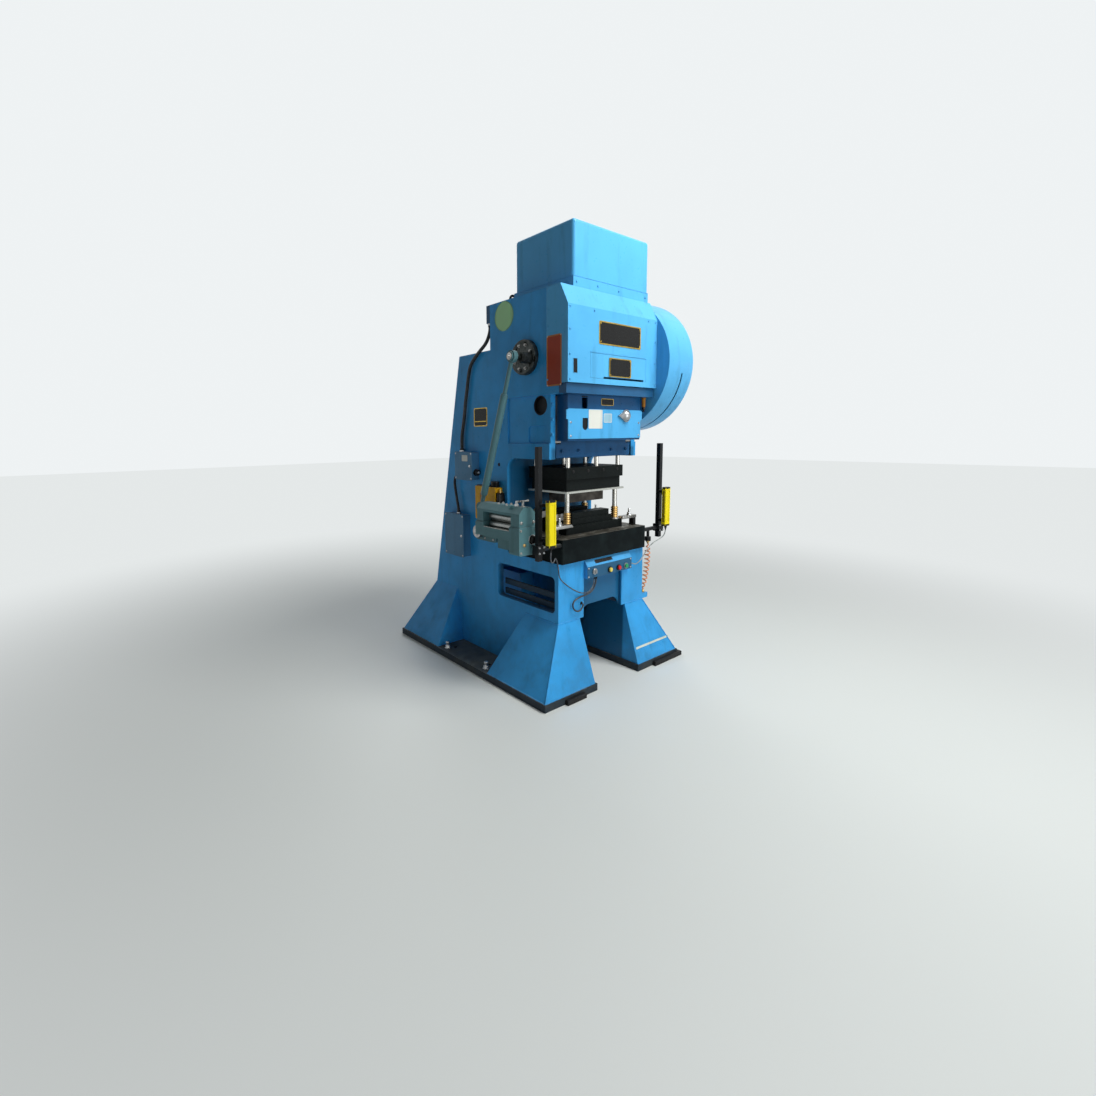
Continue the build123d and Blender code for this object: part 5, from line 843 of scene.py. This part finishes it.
# The hand slot and the housing's slot hold near-black pads: painted shade for the openings.
plaque("cover_slot_pad", (-0.2238, -0.7268, 1.6262), (-0.1762, -0.7256, 1.6978), FRONT, 0.004, deep_black,
       deep_black)
plaque("housing_slot_rim", (-0.228, -0.7262, 1.826), (-0.172, -0.7252, 1.832), FRONT, 0.001, deep_black,
       deep_black)
paper = enamel("printed_white", (0.74, 0.75, 0.70), shade=0.9, dust=0.05, rough=0.4, scuffs=0.2, edge=0.0003)
plaque("cover_label", (-0.170, SLIDE_COVER - 0.0008, 1.634), (-0.041, SLIDE_COVER - 0.0001, 1.751), FRONT,
       0.003, paper, paper, step=0.0002)
faded = enamel("faded_label", (0.36, 0.60, 0.74), shade=0.8, dust=0.05, rough=0.4, scuffs=0.3, edge=0.0003)
plaque("cover_small_label", (-0.028, SLIDE_COVER - 0.0008, 1.672), (0.050, SLIDE_COVER - 0.0001, 1.728),
       FRONT, 0.003, faded, paper, step=0.0002)
plaque("housing_plate", (-0.046, -0.7268, 1.779), (0.073, -0.7252, 1.822), FRONT, 0.003, black_plate,
       gold_rim)
cover_bolts = grid((-0.330, 0.330), SLIDE_COVER, (1.590, 1.672))
screws("slide_cover_screws", FRONT, 0.0055, 0.0040, cover_bolts, zinc_steel, sides=16)
gib_bolts = [(side * 0.3995, -0.642, z) for side in (-1, 1) for z in (1.600, 1.690, 1.780)]
screws("gib_screws", FRONT, 0.0105, 0.011, gib_bolts, frame_enamel)
foot_bolts = grid((-0.310, -0.160, 0.160, 0.310), -0.637, 1.497)
screws("slide_foot_screws", FRONT, 0.0095, 0.009, foot_bolts, slide_enamel, "slide", sides=16)

# Bolster: a thick blackened plate whose machined top has gone brown with oil, and four forged
# strap clamps with studs and nuts that hold the die set down.
def oiled_plate(name):
    """Black cast sides, and a milled top with an oil film and bright rubbed patches."""
    plate = Finish(name)
    top = between(plate, along(plate, 2, "NewGeometry", "Normal"), 0.85, 0.97)
    lanes = cloud(plate, 12, 5, 0.65, stretch=(0.8, 1.9, 1), sway=0.5)
    rubbed = between(plate, lanes, 0.45, 0.75)
    cast = between(plate, cloud(plate, 8, 5), 0.35, 0.7)
    side_tone = blend(plate, cast, (0.003, 0.005, 0.006), (0.008, 0.013, 0.014))
    top_tone = blend(plate, rubbed, (0.060, 0.057, 0.048), (0.22, 0.21, 0.185))
    film = between(plate, cloud(plate, 11, 5), 0.52, 0.7)
    top_tone = blend(plate, film * 0.6, top_tone, (0.026, 0.023, 0.018))
    soft, bend = rounded(plate, 0.003)
    edge = between(plate, bend, 0.02, 0.2) * between(plate, cloud(plate, 30), 0.4, 0.6)
    tone = blend(plate, edge * 0.4, blend(plate, top, side_tone, top_tone), (0.16, 0.15, 0.14))
    relief = bump(plate, 0.5, 0.001, cloud(plate, 90, 3), soft)
    gloss = 0.50 - rubbed * top * 0.16 + cloud(plate, 50) * 0.1
    return plate.closed(skin(plate, tone, gloss, relief, top * 0.45, 0.05))


bolster_iron = oiled_plate("bolster_iron")
dress(bolster_iron, "bolster")
BOLSTER_TOP = 0.964
SHOE_TOP = 1.016
CLAMP_SPOTS = [(x, y) for x in (-0.345, 0.345) for y in (-0.655, -0.355)]
for i, (x, y) in enumerate(CLAMP_SPOTS):
    inward = -math.copysign(1, x)
    low, high = sorted((x - inward * 0.052, x + inward * 0.100))
    strap = slab(f"die_clamp_{i}", ((low + high) / 2, y, SHOE_TOP + 0.0105), (high - low, 0.046, 0.020),
                 turned_steel)
    sloped(strap, lambda a, b: ((a.z + b.z) / 2 > SHOE_TOP + 0.015 and abs(a.y - b.y) > 0.03
                                and ((a.x + b.x) / 2 - x) * inward > 0.05), 0.013, 1)
    softened(strap, 0.0016)
    heel_block = slab("heel_block", (x - inward * 0.038, y, (BOLSTER_TOP + SHOE_TOP) / 2 + 0.0002),
                      (0.024, 0.040, SHOE_TOP - BOLSTER_TOP - 0.0002), black_iron)
    softened(heel_block, 0.0016)
    stud = turned("stud", (x, y, SHOE_TOP + 0.020), (0, 0, 1),
                  [(0.020, 0.004), (0.0155, 0.015), (0.0085, 0.026), (0.0085, 0.006, 0.003)], zinc_steel,
                  sides=6)
    joined(strap, heel_block, stud)
    fixed(strap)

# Die set: blackened shoes with ground guide posts in caged bronze bushes, a punch pack under the
# upper shoe with a bright stripper edge, socket screws, and stock rails at the strip's entry.
die_iron = metal("die_iron", (0.004, 0.006, 0.006), (0.012, 0.015, 0.015), 0.44, grain=(1, 1, 6),
                 metallic=0.0,
                 bright=0.25, sheen=0.05)
dress(die_iron, "upper_die_shoe", "lower_die_block", "lower_die_shoe")
ground_steel = metal("ground_steel", (0.46, 0.45, 0.42), (0.66, 0.65, 0.62), 0.24, grain=(1, 1, 14))
dress(ground_steel, "guide_posts", "die_risers")
dress(bronze, "post_springs")


def punch_finish(name, split):
    """Bright ground stripper edge above a height, browned tool steel below it."""
    pack = Finish(name)
    upper = between(pack, along(pack, 2), split - 0.0004, split + 0.0004)
    marks = cloud(pack, 60, 4, 0.6, stretch=(12, 12, 1))
    bright = blend(pack, between(pack, marks, 0.3, 0.7), (0.42, 0.43, 0.40), (0.64, 0.65, 0.60))
    stain = between(pack, cloud(pack, 14, 4), 0.3, 0.7)
    brown = blend(pack, stain, (0.030, 0.026, 0.022), (0.085, 0.076, 0.066))
    relief = bump(pack, 0.4, 0.0005, marks, rounded(pack, 0.0012)[0])
    return pack.closed(skin(pack, blend(pack, upper, brown, bright), marks * 0.2 + 0.26, relief, 0.8))


dress(punch_finish("punch_pack", 1.2282), "punch_plate")
SHOE_FRONT = -0.648
shoe_screws = grid((-0.215, -0.075, 0.075, 0.215), SHOE_FRONT, 1.365)
screws("upper_shoe_screws", FRONT, 0.0085, 0.003, shoe_screws, black_iron, "slide", sides=16)
for name, y in (("front_stock_rail", -0.562), ("rear_stock_rail", -0.394)):
    rail = slab(name, (-0.262, y, 1.074), (0.128, 0.018, 0.034), turned_steel)
    pick(rail, "FACE", lambda centre, normal: normal.z < -0.9)
    bpy.ops.mesh.extrude_region_move(TRANSFORM_OT_translate={"value": (0, 0, -0.008)})
    bpy.ops.transform.resize(value=(1.0, 1.5, 1.0))
    shut()
    fixed(softened(rail, 0.0012))
retainers = grid((-0.236, 0.236), (-0.614, -0.339), 1.0162)
flange = turned("post_flanges", retainers[0], (0, 0, 1), [(0.033, 0.007), (0.0285, 0.0275, 0.004)],
                turned_steel, sides=40)
repeated(softened(flange, 0.0008), [Vector(spot) - Vector(retainers[0]) for spot in retainers[1:]])
fixed(flange)

# Feeder: grey-green castings that carry two ground rolls at the strip's height, a rod from the
# crank disc, a rocking arm on a bevel gearbox, and a steel T handle. Screws are steel, oil plugs bronze.
feeder_enamel = enamel("feeder_enamel", (0.105, 0.235, 0.265), shade=0.7, dust=0.5, rough=0.34, scuffs=0.6)
dress(feeder_enamel, "feeder_body", "feeder_yoke", "feed_rod")
roll_steel = metal("roll_steel", (0.20, 0.21, 0.21), (0.36, 0.37, 0.36), 0.30, grain=(1, 14, 1),
                   depth=0.0003)
dress(roll_steel, "lower_feed_roll", "upper_feed_roll", "feeder_tee")
dress(turned_steel, "feeder_arm")
FEEDER_FACE = -0.678
block_screws = grid((-0.686, -0.570), FEEDER_FACE, (0.914, 1.046))
screws("feeder_block_screws", FRONT, 0.0062, 0.005, block_screws, turned_steel, sides=16)
YOKE_FACE = -0.670
ear_screws = grid((-0.676, -0.580), YOKE_FACE, 1.090)
screws("yoke_ear_screws", FRONT, 0.0085, 0.006, ear_screws, turned_steel)
YOKE_TOP = 1.178
strap_screws = [(-0.628 + side * 0.018, y, YOKE_TOP) for side in (-1, 1) for y in (-0.505, -0.430)]
screws("yoke_strap_screws", (0, 0, 1), 0.0080, 0.008, strap_screws, turned_steel, sides=16)


def ring(name, place, way, outer, inner, height, finish, sides=48):
    """Collar that is open in the middle, fixed to the frame."""
    way = Vector(way)
    foot = Vector(place).dot(way)
    piece = turned(name, place, way, [(outer, height), (inner, -height)], finish, sides=sides)
    pick(piece, "FACE", lambda centre, normal: abs(centre.dot(way) - foot) < 1e-6)
    bpy.ops.mesh.delete(type="ONLY_FACE")
    bpy.ops.mesh.select_mode(type="EDGE")
    bpy.ops.mesh.select_non_manifold()
    bpy.ops.mesh.bridge_edge_loops()
    bpy.ops.mesh.select_all(action="SELECT")
    bpy.ops.mesh.normals_make_consistent(inside=False)
    shut()
    return fixed(softened(piece, min(outer - inner, height) * 0.15))


lathe("feeder_dial", (-0.598, FEEDER_FACE, 0.985), FRONT,
      [(0.026, 0.003), (0.021, 0.012), (0.021, 0.018, 0.003), (0.012, 0.002)], black_plate, 0.0006,
      sides=28)
ring("feeder_dial_rim", (-0.598, FEEDER_FACE, 0.985), FRONT, 0.0300, 0.0266, 0.004, zinc_steel)
lathe("feeder_oil_plug", (-0.660, FEEDER_FACE, 0.958), FRONT, [(0.011, 0.003), (0.0080, 0.006)], bronze,
      0.0005, sides=6)
lathe("pinch_lock_bolt", (-0.628, -0.575, YOKE_TOP - 0.0005), (0, 0, 1),
      [(0.017, 0.004), (0.013, 0.009), (0.0075, 0.0070, 0.018)], zinc_steel, 0.0006, sides=6)
strip = slab("feeder_edge_strip", (-0.6880, -0.462, 1.0352), (0.022, 0.244, 0.0026), ground_steel)
fixed(softened(strip, 0.0008))
GEARBOX_FACE = -0.530
gear_screws = grid(GEARBOX_FACE, (-0.228, -0.138), (0.908, 0.994))
screws("gearbox_screws", LEFT, 0.0055, 0.005, gear_screws, turned_steel)
lathe("gearbox_filler", (-0.485, -0.190, 1.012), (0, 0, 1), [(0.013, 0.004), (0.0095, 0.009)], bronze,
      0.0006, sides=6)
lathe("arm_hub_nut", (-0.5605, -0.083, 0.950), LEFT, [(0.026, 0.002), (0.0185, 0.005)], zinc_steel, 0.0008,
      "feeder_arm", sides=6)
EYE_FACE = -0.609
lathe("upper_eye_nipple", (EYE_FACE, -0.495, 2.066), LEFT,
      [(0.022, 0.0015), (0.016, 0.003), (0.006, 0.005, 0.006)], turned_steel, 0.0005,
      "feed_rod", sides=32)

# Light curtains: extruded yellow bars with black end caps and a smoked lens down the inner side,
# on black square posts clamped to pipes. Each lead leaves through a rubber sleeve.
yellow_coat = enamel("yellow_coat", (0.84, 0.69, 0.006), shade=0.94, dust=0.1, scuffs=0.12)
dress(yellow_coat, "light_curtains")
black_coat = enamel("black_coat", (0.008, 0.009, 0.011), dust=0.25, rough=0.40, scuffs=0.5)
dress(black_coat, "curtain_stands")
smoked = enamel("smoked_lens", (0.30, 0.21, 0.012), shade=0.9, dust=0.05, rough=0.2, scuffs=0.05,
                edge=0.0004)
BAR_X, BAR_Y = 0.565, -0.8015
for side, tag in ((-1, "left"), (1, "right")):
    for end, z in (("top", 1.2202), ("foot", 0.9588)):
        cap = slab(f"{tag}_bar_{end}_cap", (side * BAR_X, BAR_Y, z), (0.0548, 0.0298, 0.0124), black_plate)
        sloped(cap, lambda a, b: abs(a.z - b.z) > 0.005, 0.005, 4)
        fixed(softened(cap, 0.0008))
    inner = -side
    inner_face = side * (BAR_X - 0.029)
    low, high = sorted((inner_face, inner_face + inner * 0.0008))
    plaque(f"{tag}_bar_lens", (low, BAR_Y - 0.0060, 0.980), (high, BAR_Y + 0.0060, 1.199), (inner, 0, 0),
           0.0015, smoked, smoked, step=0.0004)
    clamp_screws = [(side * 0.590 + dx, -0.751, 0.930 + dz) for dx in (-0.017, 0.017) for dz in (-0.017,
                                                                                                 0.017)]
    screws(f"{tag}_clamp_screws", FRONT, 0.0048, 0.005, clamp_screws, zinc_steel, sides=16)
    post_cap = slab(f"{tag}_post_cap", (side * 0.590, -0.725, 1.5285), (0.0306, 0.0306, 0.005), black_plate)
    fixed(softened(post_cap, 0.0012))


def sleeve(name, place, way, radius, tip, length):
    """Moulded sleeve that tapers on to a cord where it leaves a housing."""
    groove = radius * 0.82
    steps = [(radius * 1.25, length * 0.16), (radius, radius * 0.93, length * 0.18), (groove, length * 0.08),
             (radius * 0.92, radius * 0.84, length * 0.16), (groove * 0.9, groove * 0.88, length * 0.08),
             (radius * 0.82, tip, length * 0.34)]
    return lathe(name, place, way, steps, black_plate, 0.0003, sides=28, turns=1)


for side, tag in ((-1, "left"), (1, "right")):
    foot = (side * BAR_X, -0.802, 0.9528)
    ring(tag + "_bar_gland", foot, (0, 0, -1), 0.0092, 0.0072, 0.0114, black_plate)
    sleeve(tag + "_bar_sleeve", (side * BAR_X, -0.802, 0.9412), (0, 0, -1), 0.0066, 0.0040, 0.018)

# Control box: folded sheet under the bolster with a sloped top. Push buttons in plastic collars, the
# green one's chromed, a selector, lid screws, and a bare black strip on the slope.
def box_front_shade(paint):
    """Painted shade on the box's front wall under the bolster: faces that look forward turn darker than the
    slope and sides.
    """
    return between(paint, 0 - along(paint, 1, "NewGeometry", "Normal"), 0.90, 0.97)


# The box's enamel carries painted shade on its front wall.
box_enamel = enamel("box_enamel", (0.075, 0.380, 0.76), dust=0.1, shelter=box_front_shade, deep=0.26)
dress(box_enamel, "control_box")
BOX_FACE = -0.750
RING_PROUD = 0.0086
BUTTONS = {"yellow_button": (0.026, 0.717), "red_button": (0.114, 0.717), "green_button": (0.190, 0.717),
           "selector_switch": (-0.126, 0.730)}
CAPS = {"yellow_button": (0.78, 0.62, 0.12), "red_button": (0.62, 0.020, 0.022), "green_button": (0.02, 0.30,
                                                                                                  0.12),
        "selector_switch": (0.40, 0.41, 0.41)}
for node, (x, z) in BUTTONS.items():
    dress(enamel(node + "_plastic", CAPS[node], shade=0.95, dust=0.0, rough=0.22, scuffs=0.05), node)
    bright = node in ("green_button", "selector_switch")
    ring(node + "_collar", (x, BOX_FACE, z), FRONT, 0.0196, 0.0146, RING_PROUD,
         zinc_steel if bright else black_plate)
box_screws = grid((-0.178, 0.244), BOX_FACE, (0.699, 0.755))
screws("box_screws", FRONT, 0.0042, 0.0028, box_screws, zinc_steel, sides=16)
SLOPE_LOW, SLOPE_HIGH = Vector((0, -0.750, 0.764)), Vector((0, -0.722, 0.807))
rise = (SLOPE_HIGH - SLOPE_LOW).normalized()
slope_out = Vector((0, -rise.z, rise.y))
slope_middle = (SLOPE_LOW + SLOPE_HIGH) / 2 + slope_out * 0.0004
strip = slab("box_strip", (-0.020, slope_middle.y, slope_middle.z), (0.170, 0.024, 0.0008), black_plate,
             turn=(math.atan2(rise.z, rise.y), 0, 0))
stepped(strip, slope_out, (0.0015, 0), (0.0004, -0.0003))
fixed(softened(strip, 0.0002, 1))
sleeve("control_lead_sleeve", (-0.080, -0.728, 0.6892), (0, 0, -1), 0.0088, 0.0056, 0.020)
sleeve("left_lead_sleeve", (-0.104, -0.732, 0.6892), (0, 0, -1), 0.0062, 0.0040, 0.018)
sleeve("right_lead_sleeve", (0.2558, -0.734, 0.716), (1, 0, 0), 0.0062, 0.0040, 0.018)
ring("panel_grommet", (-0.214, -0.7198, 0.532), FRONT, 0.0095, 0.0052, 0.004, black_plate)

# Side boxes: sheet boxes with overlapping lids on the left side plate, joined by ribbed conduits
# in screwed glands. One bare white label, a round connector, and a plug in an unused hole.
side_enamel = enamel("side_enamel", (0.080, 0.24, 0.42), dust=0.3)
dress(side_enamel, "junction_boxes")
LID = -0.487
BOX_SPANS = {"upper_box": ((0.065, 0.265), (1.287, 1.482)), "lower_box": ((0.180, 0.410), (0.714, 1.022))}
for name, (ys, zs) in BOX_SPANS.items():
    lid_screws = grid(LID, (ys[0] + 0.008, ys[1] - 0.008), (zs[0] + 0.010, zs[1] - 0.010))
    screws(name + "_screws", LEFT, 0.0046, 0.003, lid_screws, zinc_steel, sides=16)
    lathe(name + "_latch", (LID, ys[0] + 0.022, sum(zs) / 2), LEFT,
          [(0.0100, 0.002), (0.0085, 0.003), (0.0045, -0.002)], zinc_steel, 0.0004)
plaque("side_label", (LID - 0.0008, 0.112, 1.418), (LID - 0.0001, 0.180, 1.462), LEFT, 0.002, paper, paper,
       step=0.0002)
GLANDS = (((-0.402, -0.058, 2.348), (0, 0, -1), 0.012), ((-0.440, 0.242, 1.482), (0, 0, 1), 0.012),
          ((-0.450, 0.265, 1.312), (0, 1, 0), 0.010), ((-0.450, 0.282, 1.022), (0, 0, 1), 0.010))
for i, (place, way, bore) in enumerate(GLANDS):
    gland = turned(f"conduit_gland_{i}", place, way, [(bore * 1.55, 0.009), (bore * 1.32, 0.004)],
                   zinc_steel, sides=6)
    nose = turned("nose", Vector(place) + Vector(way) * 0.0125, way,
                  [(bore * 1.30, 0.008), (bore * 1.24, bore * 1.06, 0.006)], black_plate, sides=32)
    joined(gland, nose)
    fixed(softened(gland, 0.0005))
lathe("round_connector", (-0.448, 0.0648, 1.340), FRONT,
      [(0.0240, 0.004), (0.0200, 0.012), (0.0215, 0.010), (0.0170, 0.0150, 0.004)], black_plate, 0.0006,
      sides=32)
lathe("connector_tip", (-0.448, 0.0350, 1.340), FRONT, [(0.0080, 0.006), (0.0065, 0.0040, 0.003)],
      zinc_steel, 0.0004)
spot_red = enamel("spot_red", (0.55, 0.020, 0.015), shade=0.9, dust=0.0, rough=0.3, scuffs=0.05)
fixed(turned("connector_spot", (-0.448, 0.0500, 1.3610), (0, 0, 1), [(0.0040, 0.0036, 0.0018)], spot_red))
plug = turned("side_hole_plug", (-0.4198, -0.160, 1.402), LEFT,
              [(0.0118, 0.0112, 0.0015), (0.0085, 0.0080, -0.0010)], deep_black, sides=32)
fixed(plug)

# Oil unit: an amber plastic tank that holds the slideway oil, with a narrow level window. Its pump
# is a black block in front, and black parts cover the filler and the top.
orange_enamel = enamel("orange_enamel", (0.86, 0.44, 0.012), shade=0.8, dust=0.15, rough=0.28)
dress(orange_enamel, "lubrication_unit")
plaque("level_window", (LID - 0.0010, -0.048, 1.060), (LID - 0.0001, -0.030, 1.205), LEFT, 0.002, amber,
       amber, step=0.0004)
lathe("filler_cap", (-0.451, -0.152, 1.2496), (0, 0, 1),
      [(0.0268, 0.030), (0.0290, 0.006), (0.0275, 0.0250, 0.0046)], black_plate, 0.0007,
      sides=40)
lid = slab("unit_top", (-0.4525, -0.0480, 1.2545), (0.060, 0.130, 0.011), black_plate)
fixed(softened(lid, 0.003, 3))
PUMP_BACK = -0.1965
pump = slab("unit_pump", (-0.4530, PUMP_BACK - 0.014, 1.140), (0.050, 0.028, 0.150), black_plate)
stepped(pump, FRONT, (0.008, 0.004))
fixed(softened(pump, 0.0016))
lathe("unit_outlet", (-0.453, -0.2105, 1.2148), (0, 0, 1),
      [(0.0100, 0.008), (0.0075, 0.010), (0.0050, 0.0045, 0.008)], bronze, 0.0005, sides=6)

# Hose ends: a brass nut and sleeve at each end of the curly air hose, under the clamp's coupling
# and on the socket in the bed's right side.
for name, place, way in (("upper_hose_nut", (0.470, -0.725, 0.8458), (0, 0, -1)),
                         ("lower_hose_nut", (0.464, -0.696, 0.4702), (0, 0, 1))):
    lathe(name, place, way, [(0.0125, 0.009), (0.0090, 0.003), (0.0075, 0.0052, 0.009)], bronze, 0.0005,
          sides=6)

# Column's back: an access door on the slanted rear plate, of folded sheet with pressed louvres,
# two hinges, a turning latch and screws; door, louvres and hinges are in the frame's blue.
BACK_FOOT, BACK_RUN, BACK_LOW = 0.731, 0.2108, 0.045
back_out = Vector((0, 1, BACK_RUN)).normalized()
back_up = Vector((0, -BACK_RUN, 1)).normalized()
back_turn = (math.atan2(back_out.z, back_out.y), 0, 0)


def on_back(x, z, proud):
    """Place on the slanted back at a height above the floor."""
    return Vector((x, BACK_FOOT - BACK_RUN * (z - BACK_LOW), z)) + back_out * proud


DOOR_Z = 1.150
door = slab("rear_door", on_back(0, DOOR_Z, 0.0014), (0.460, 0.0026, 0.560), frame_enamel, turn=back_turn)
stepped(door, back_out, (0.022, 0), (0.004, 0.003))
fixed(softened(door, 0.0008))
LOUVRES = 8
LOUVRE_STEP = 0.026
first = on_back(0, DOOR_Z - 0.200, 0.0085)
louvre = slab("rear_louvres", first, (0.300, 0.010, 0.012), frame_enamel, turn=back_turn)
sloped(louvre, lambda a, b: (abs(a.x - b.x) > 0.1 and ((a + b) / 2 - first).dot(back_up) > 0
                             and ((a + b) / 2 - first).dot(back_out) > 0), 0.0095, 5)
repeated(louvre, [back_up * LOUVRE_STEP * i for i in range(1, LOUVRES)])
fixed(louvre)
lathe("rear_latch", on_back(0.185, DOOR_Z + 0.05, 0.0056), back_out,
      [(0.016, 0.003), (0.011, 0.012), (0.019, 0.017, 0.006)], zinc_steel, 0.0007, sides=28)
for i, dz in enumerate((-0.200, 0.200)):
    lathe(f"rear_hinge_{i}", on_back(-0.236, DOOR_Z + dz - 0.030, 0.006), back_up,
          [(0.0065, 0.019), (0.0060, 0.001), (0.0065, 0.019), (0.0060, 0.001), (0.0065, 0.019)],
          frame_enamel, 0.0004, sides=20, turns=1)
door_screws = [on_back(x, DOOR_Z + dz, 0.0026) for x in (-0.218, 0.218) for dz in (-0.265, 0.265)]
screws("rear_door_screws", back_out, 0.0060, 0.004, door_screws, zinc_steel)
MOTOR_Y, MOTOR_Z = 0.160, 2.330
lathe("motor_cowl_plate", (0.0205, MOTOR_Y, MOTOR_Z), LEFT,
      [(0.100, 0.094, 0.004), (0.030, 0.002), (0.022, -0.001)], motor_enamel, 0.0007,
      sides=64)
# The cowl's slots are near-black patches: painted shade for the openings.
grille = slab("motor_cowl_slots", (0.0158, MOTOR_Y, MOTOR_Z + 0.060), (0.0016, 0.006, 0.040), slot_shade_black)
COWL_SLOTS = 12
for i in range(1, COWL_SLOTS):
    twin = grille.copy()
    twin.data = grille.data.copy()
    turn = Matrix.Translation((0, MOTOR_Y, MOTOR_Z)) @ Matrix.Rotation(math.tau * i / COWL_SLOTS, 4, "X")
    twin.data.transform(turn @ Matrix.Translation((0, -MOTOR_Y, -MOTOR_Z)))
    bpy.context.scene.collection.objects.link(twin)
    twin.name = f"slot_{i}"
chosen(grille)
for i in range(1, COWL_SLOTS):
    bpy.data.objects[f"slot_{i}"].select_set(True)
bpy.ops.object.join()
fixed(grille)
TERMINAL_TOP = 2.510
terminal_screws = grid((0.128, 0.242), (0.118, 0.202), TERMINAL_TOP)
screws("terminal_screws", (0, 0, 1), 0.0045, 0.003, terminal_screws, zinc_steel, sides=16)
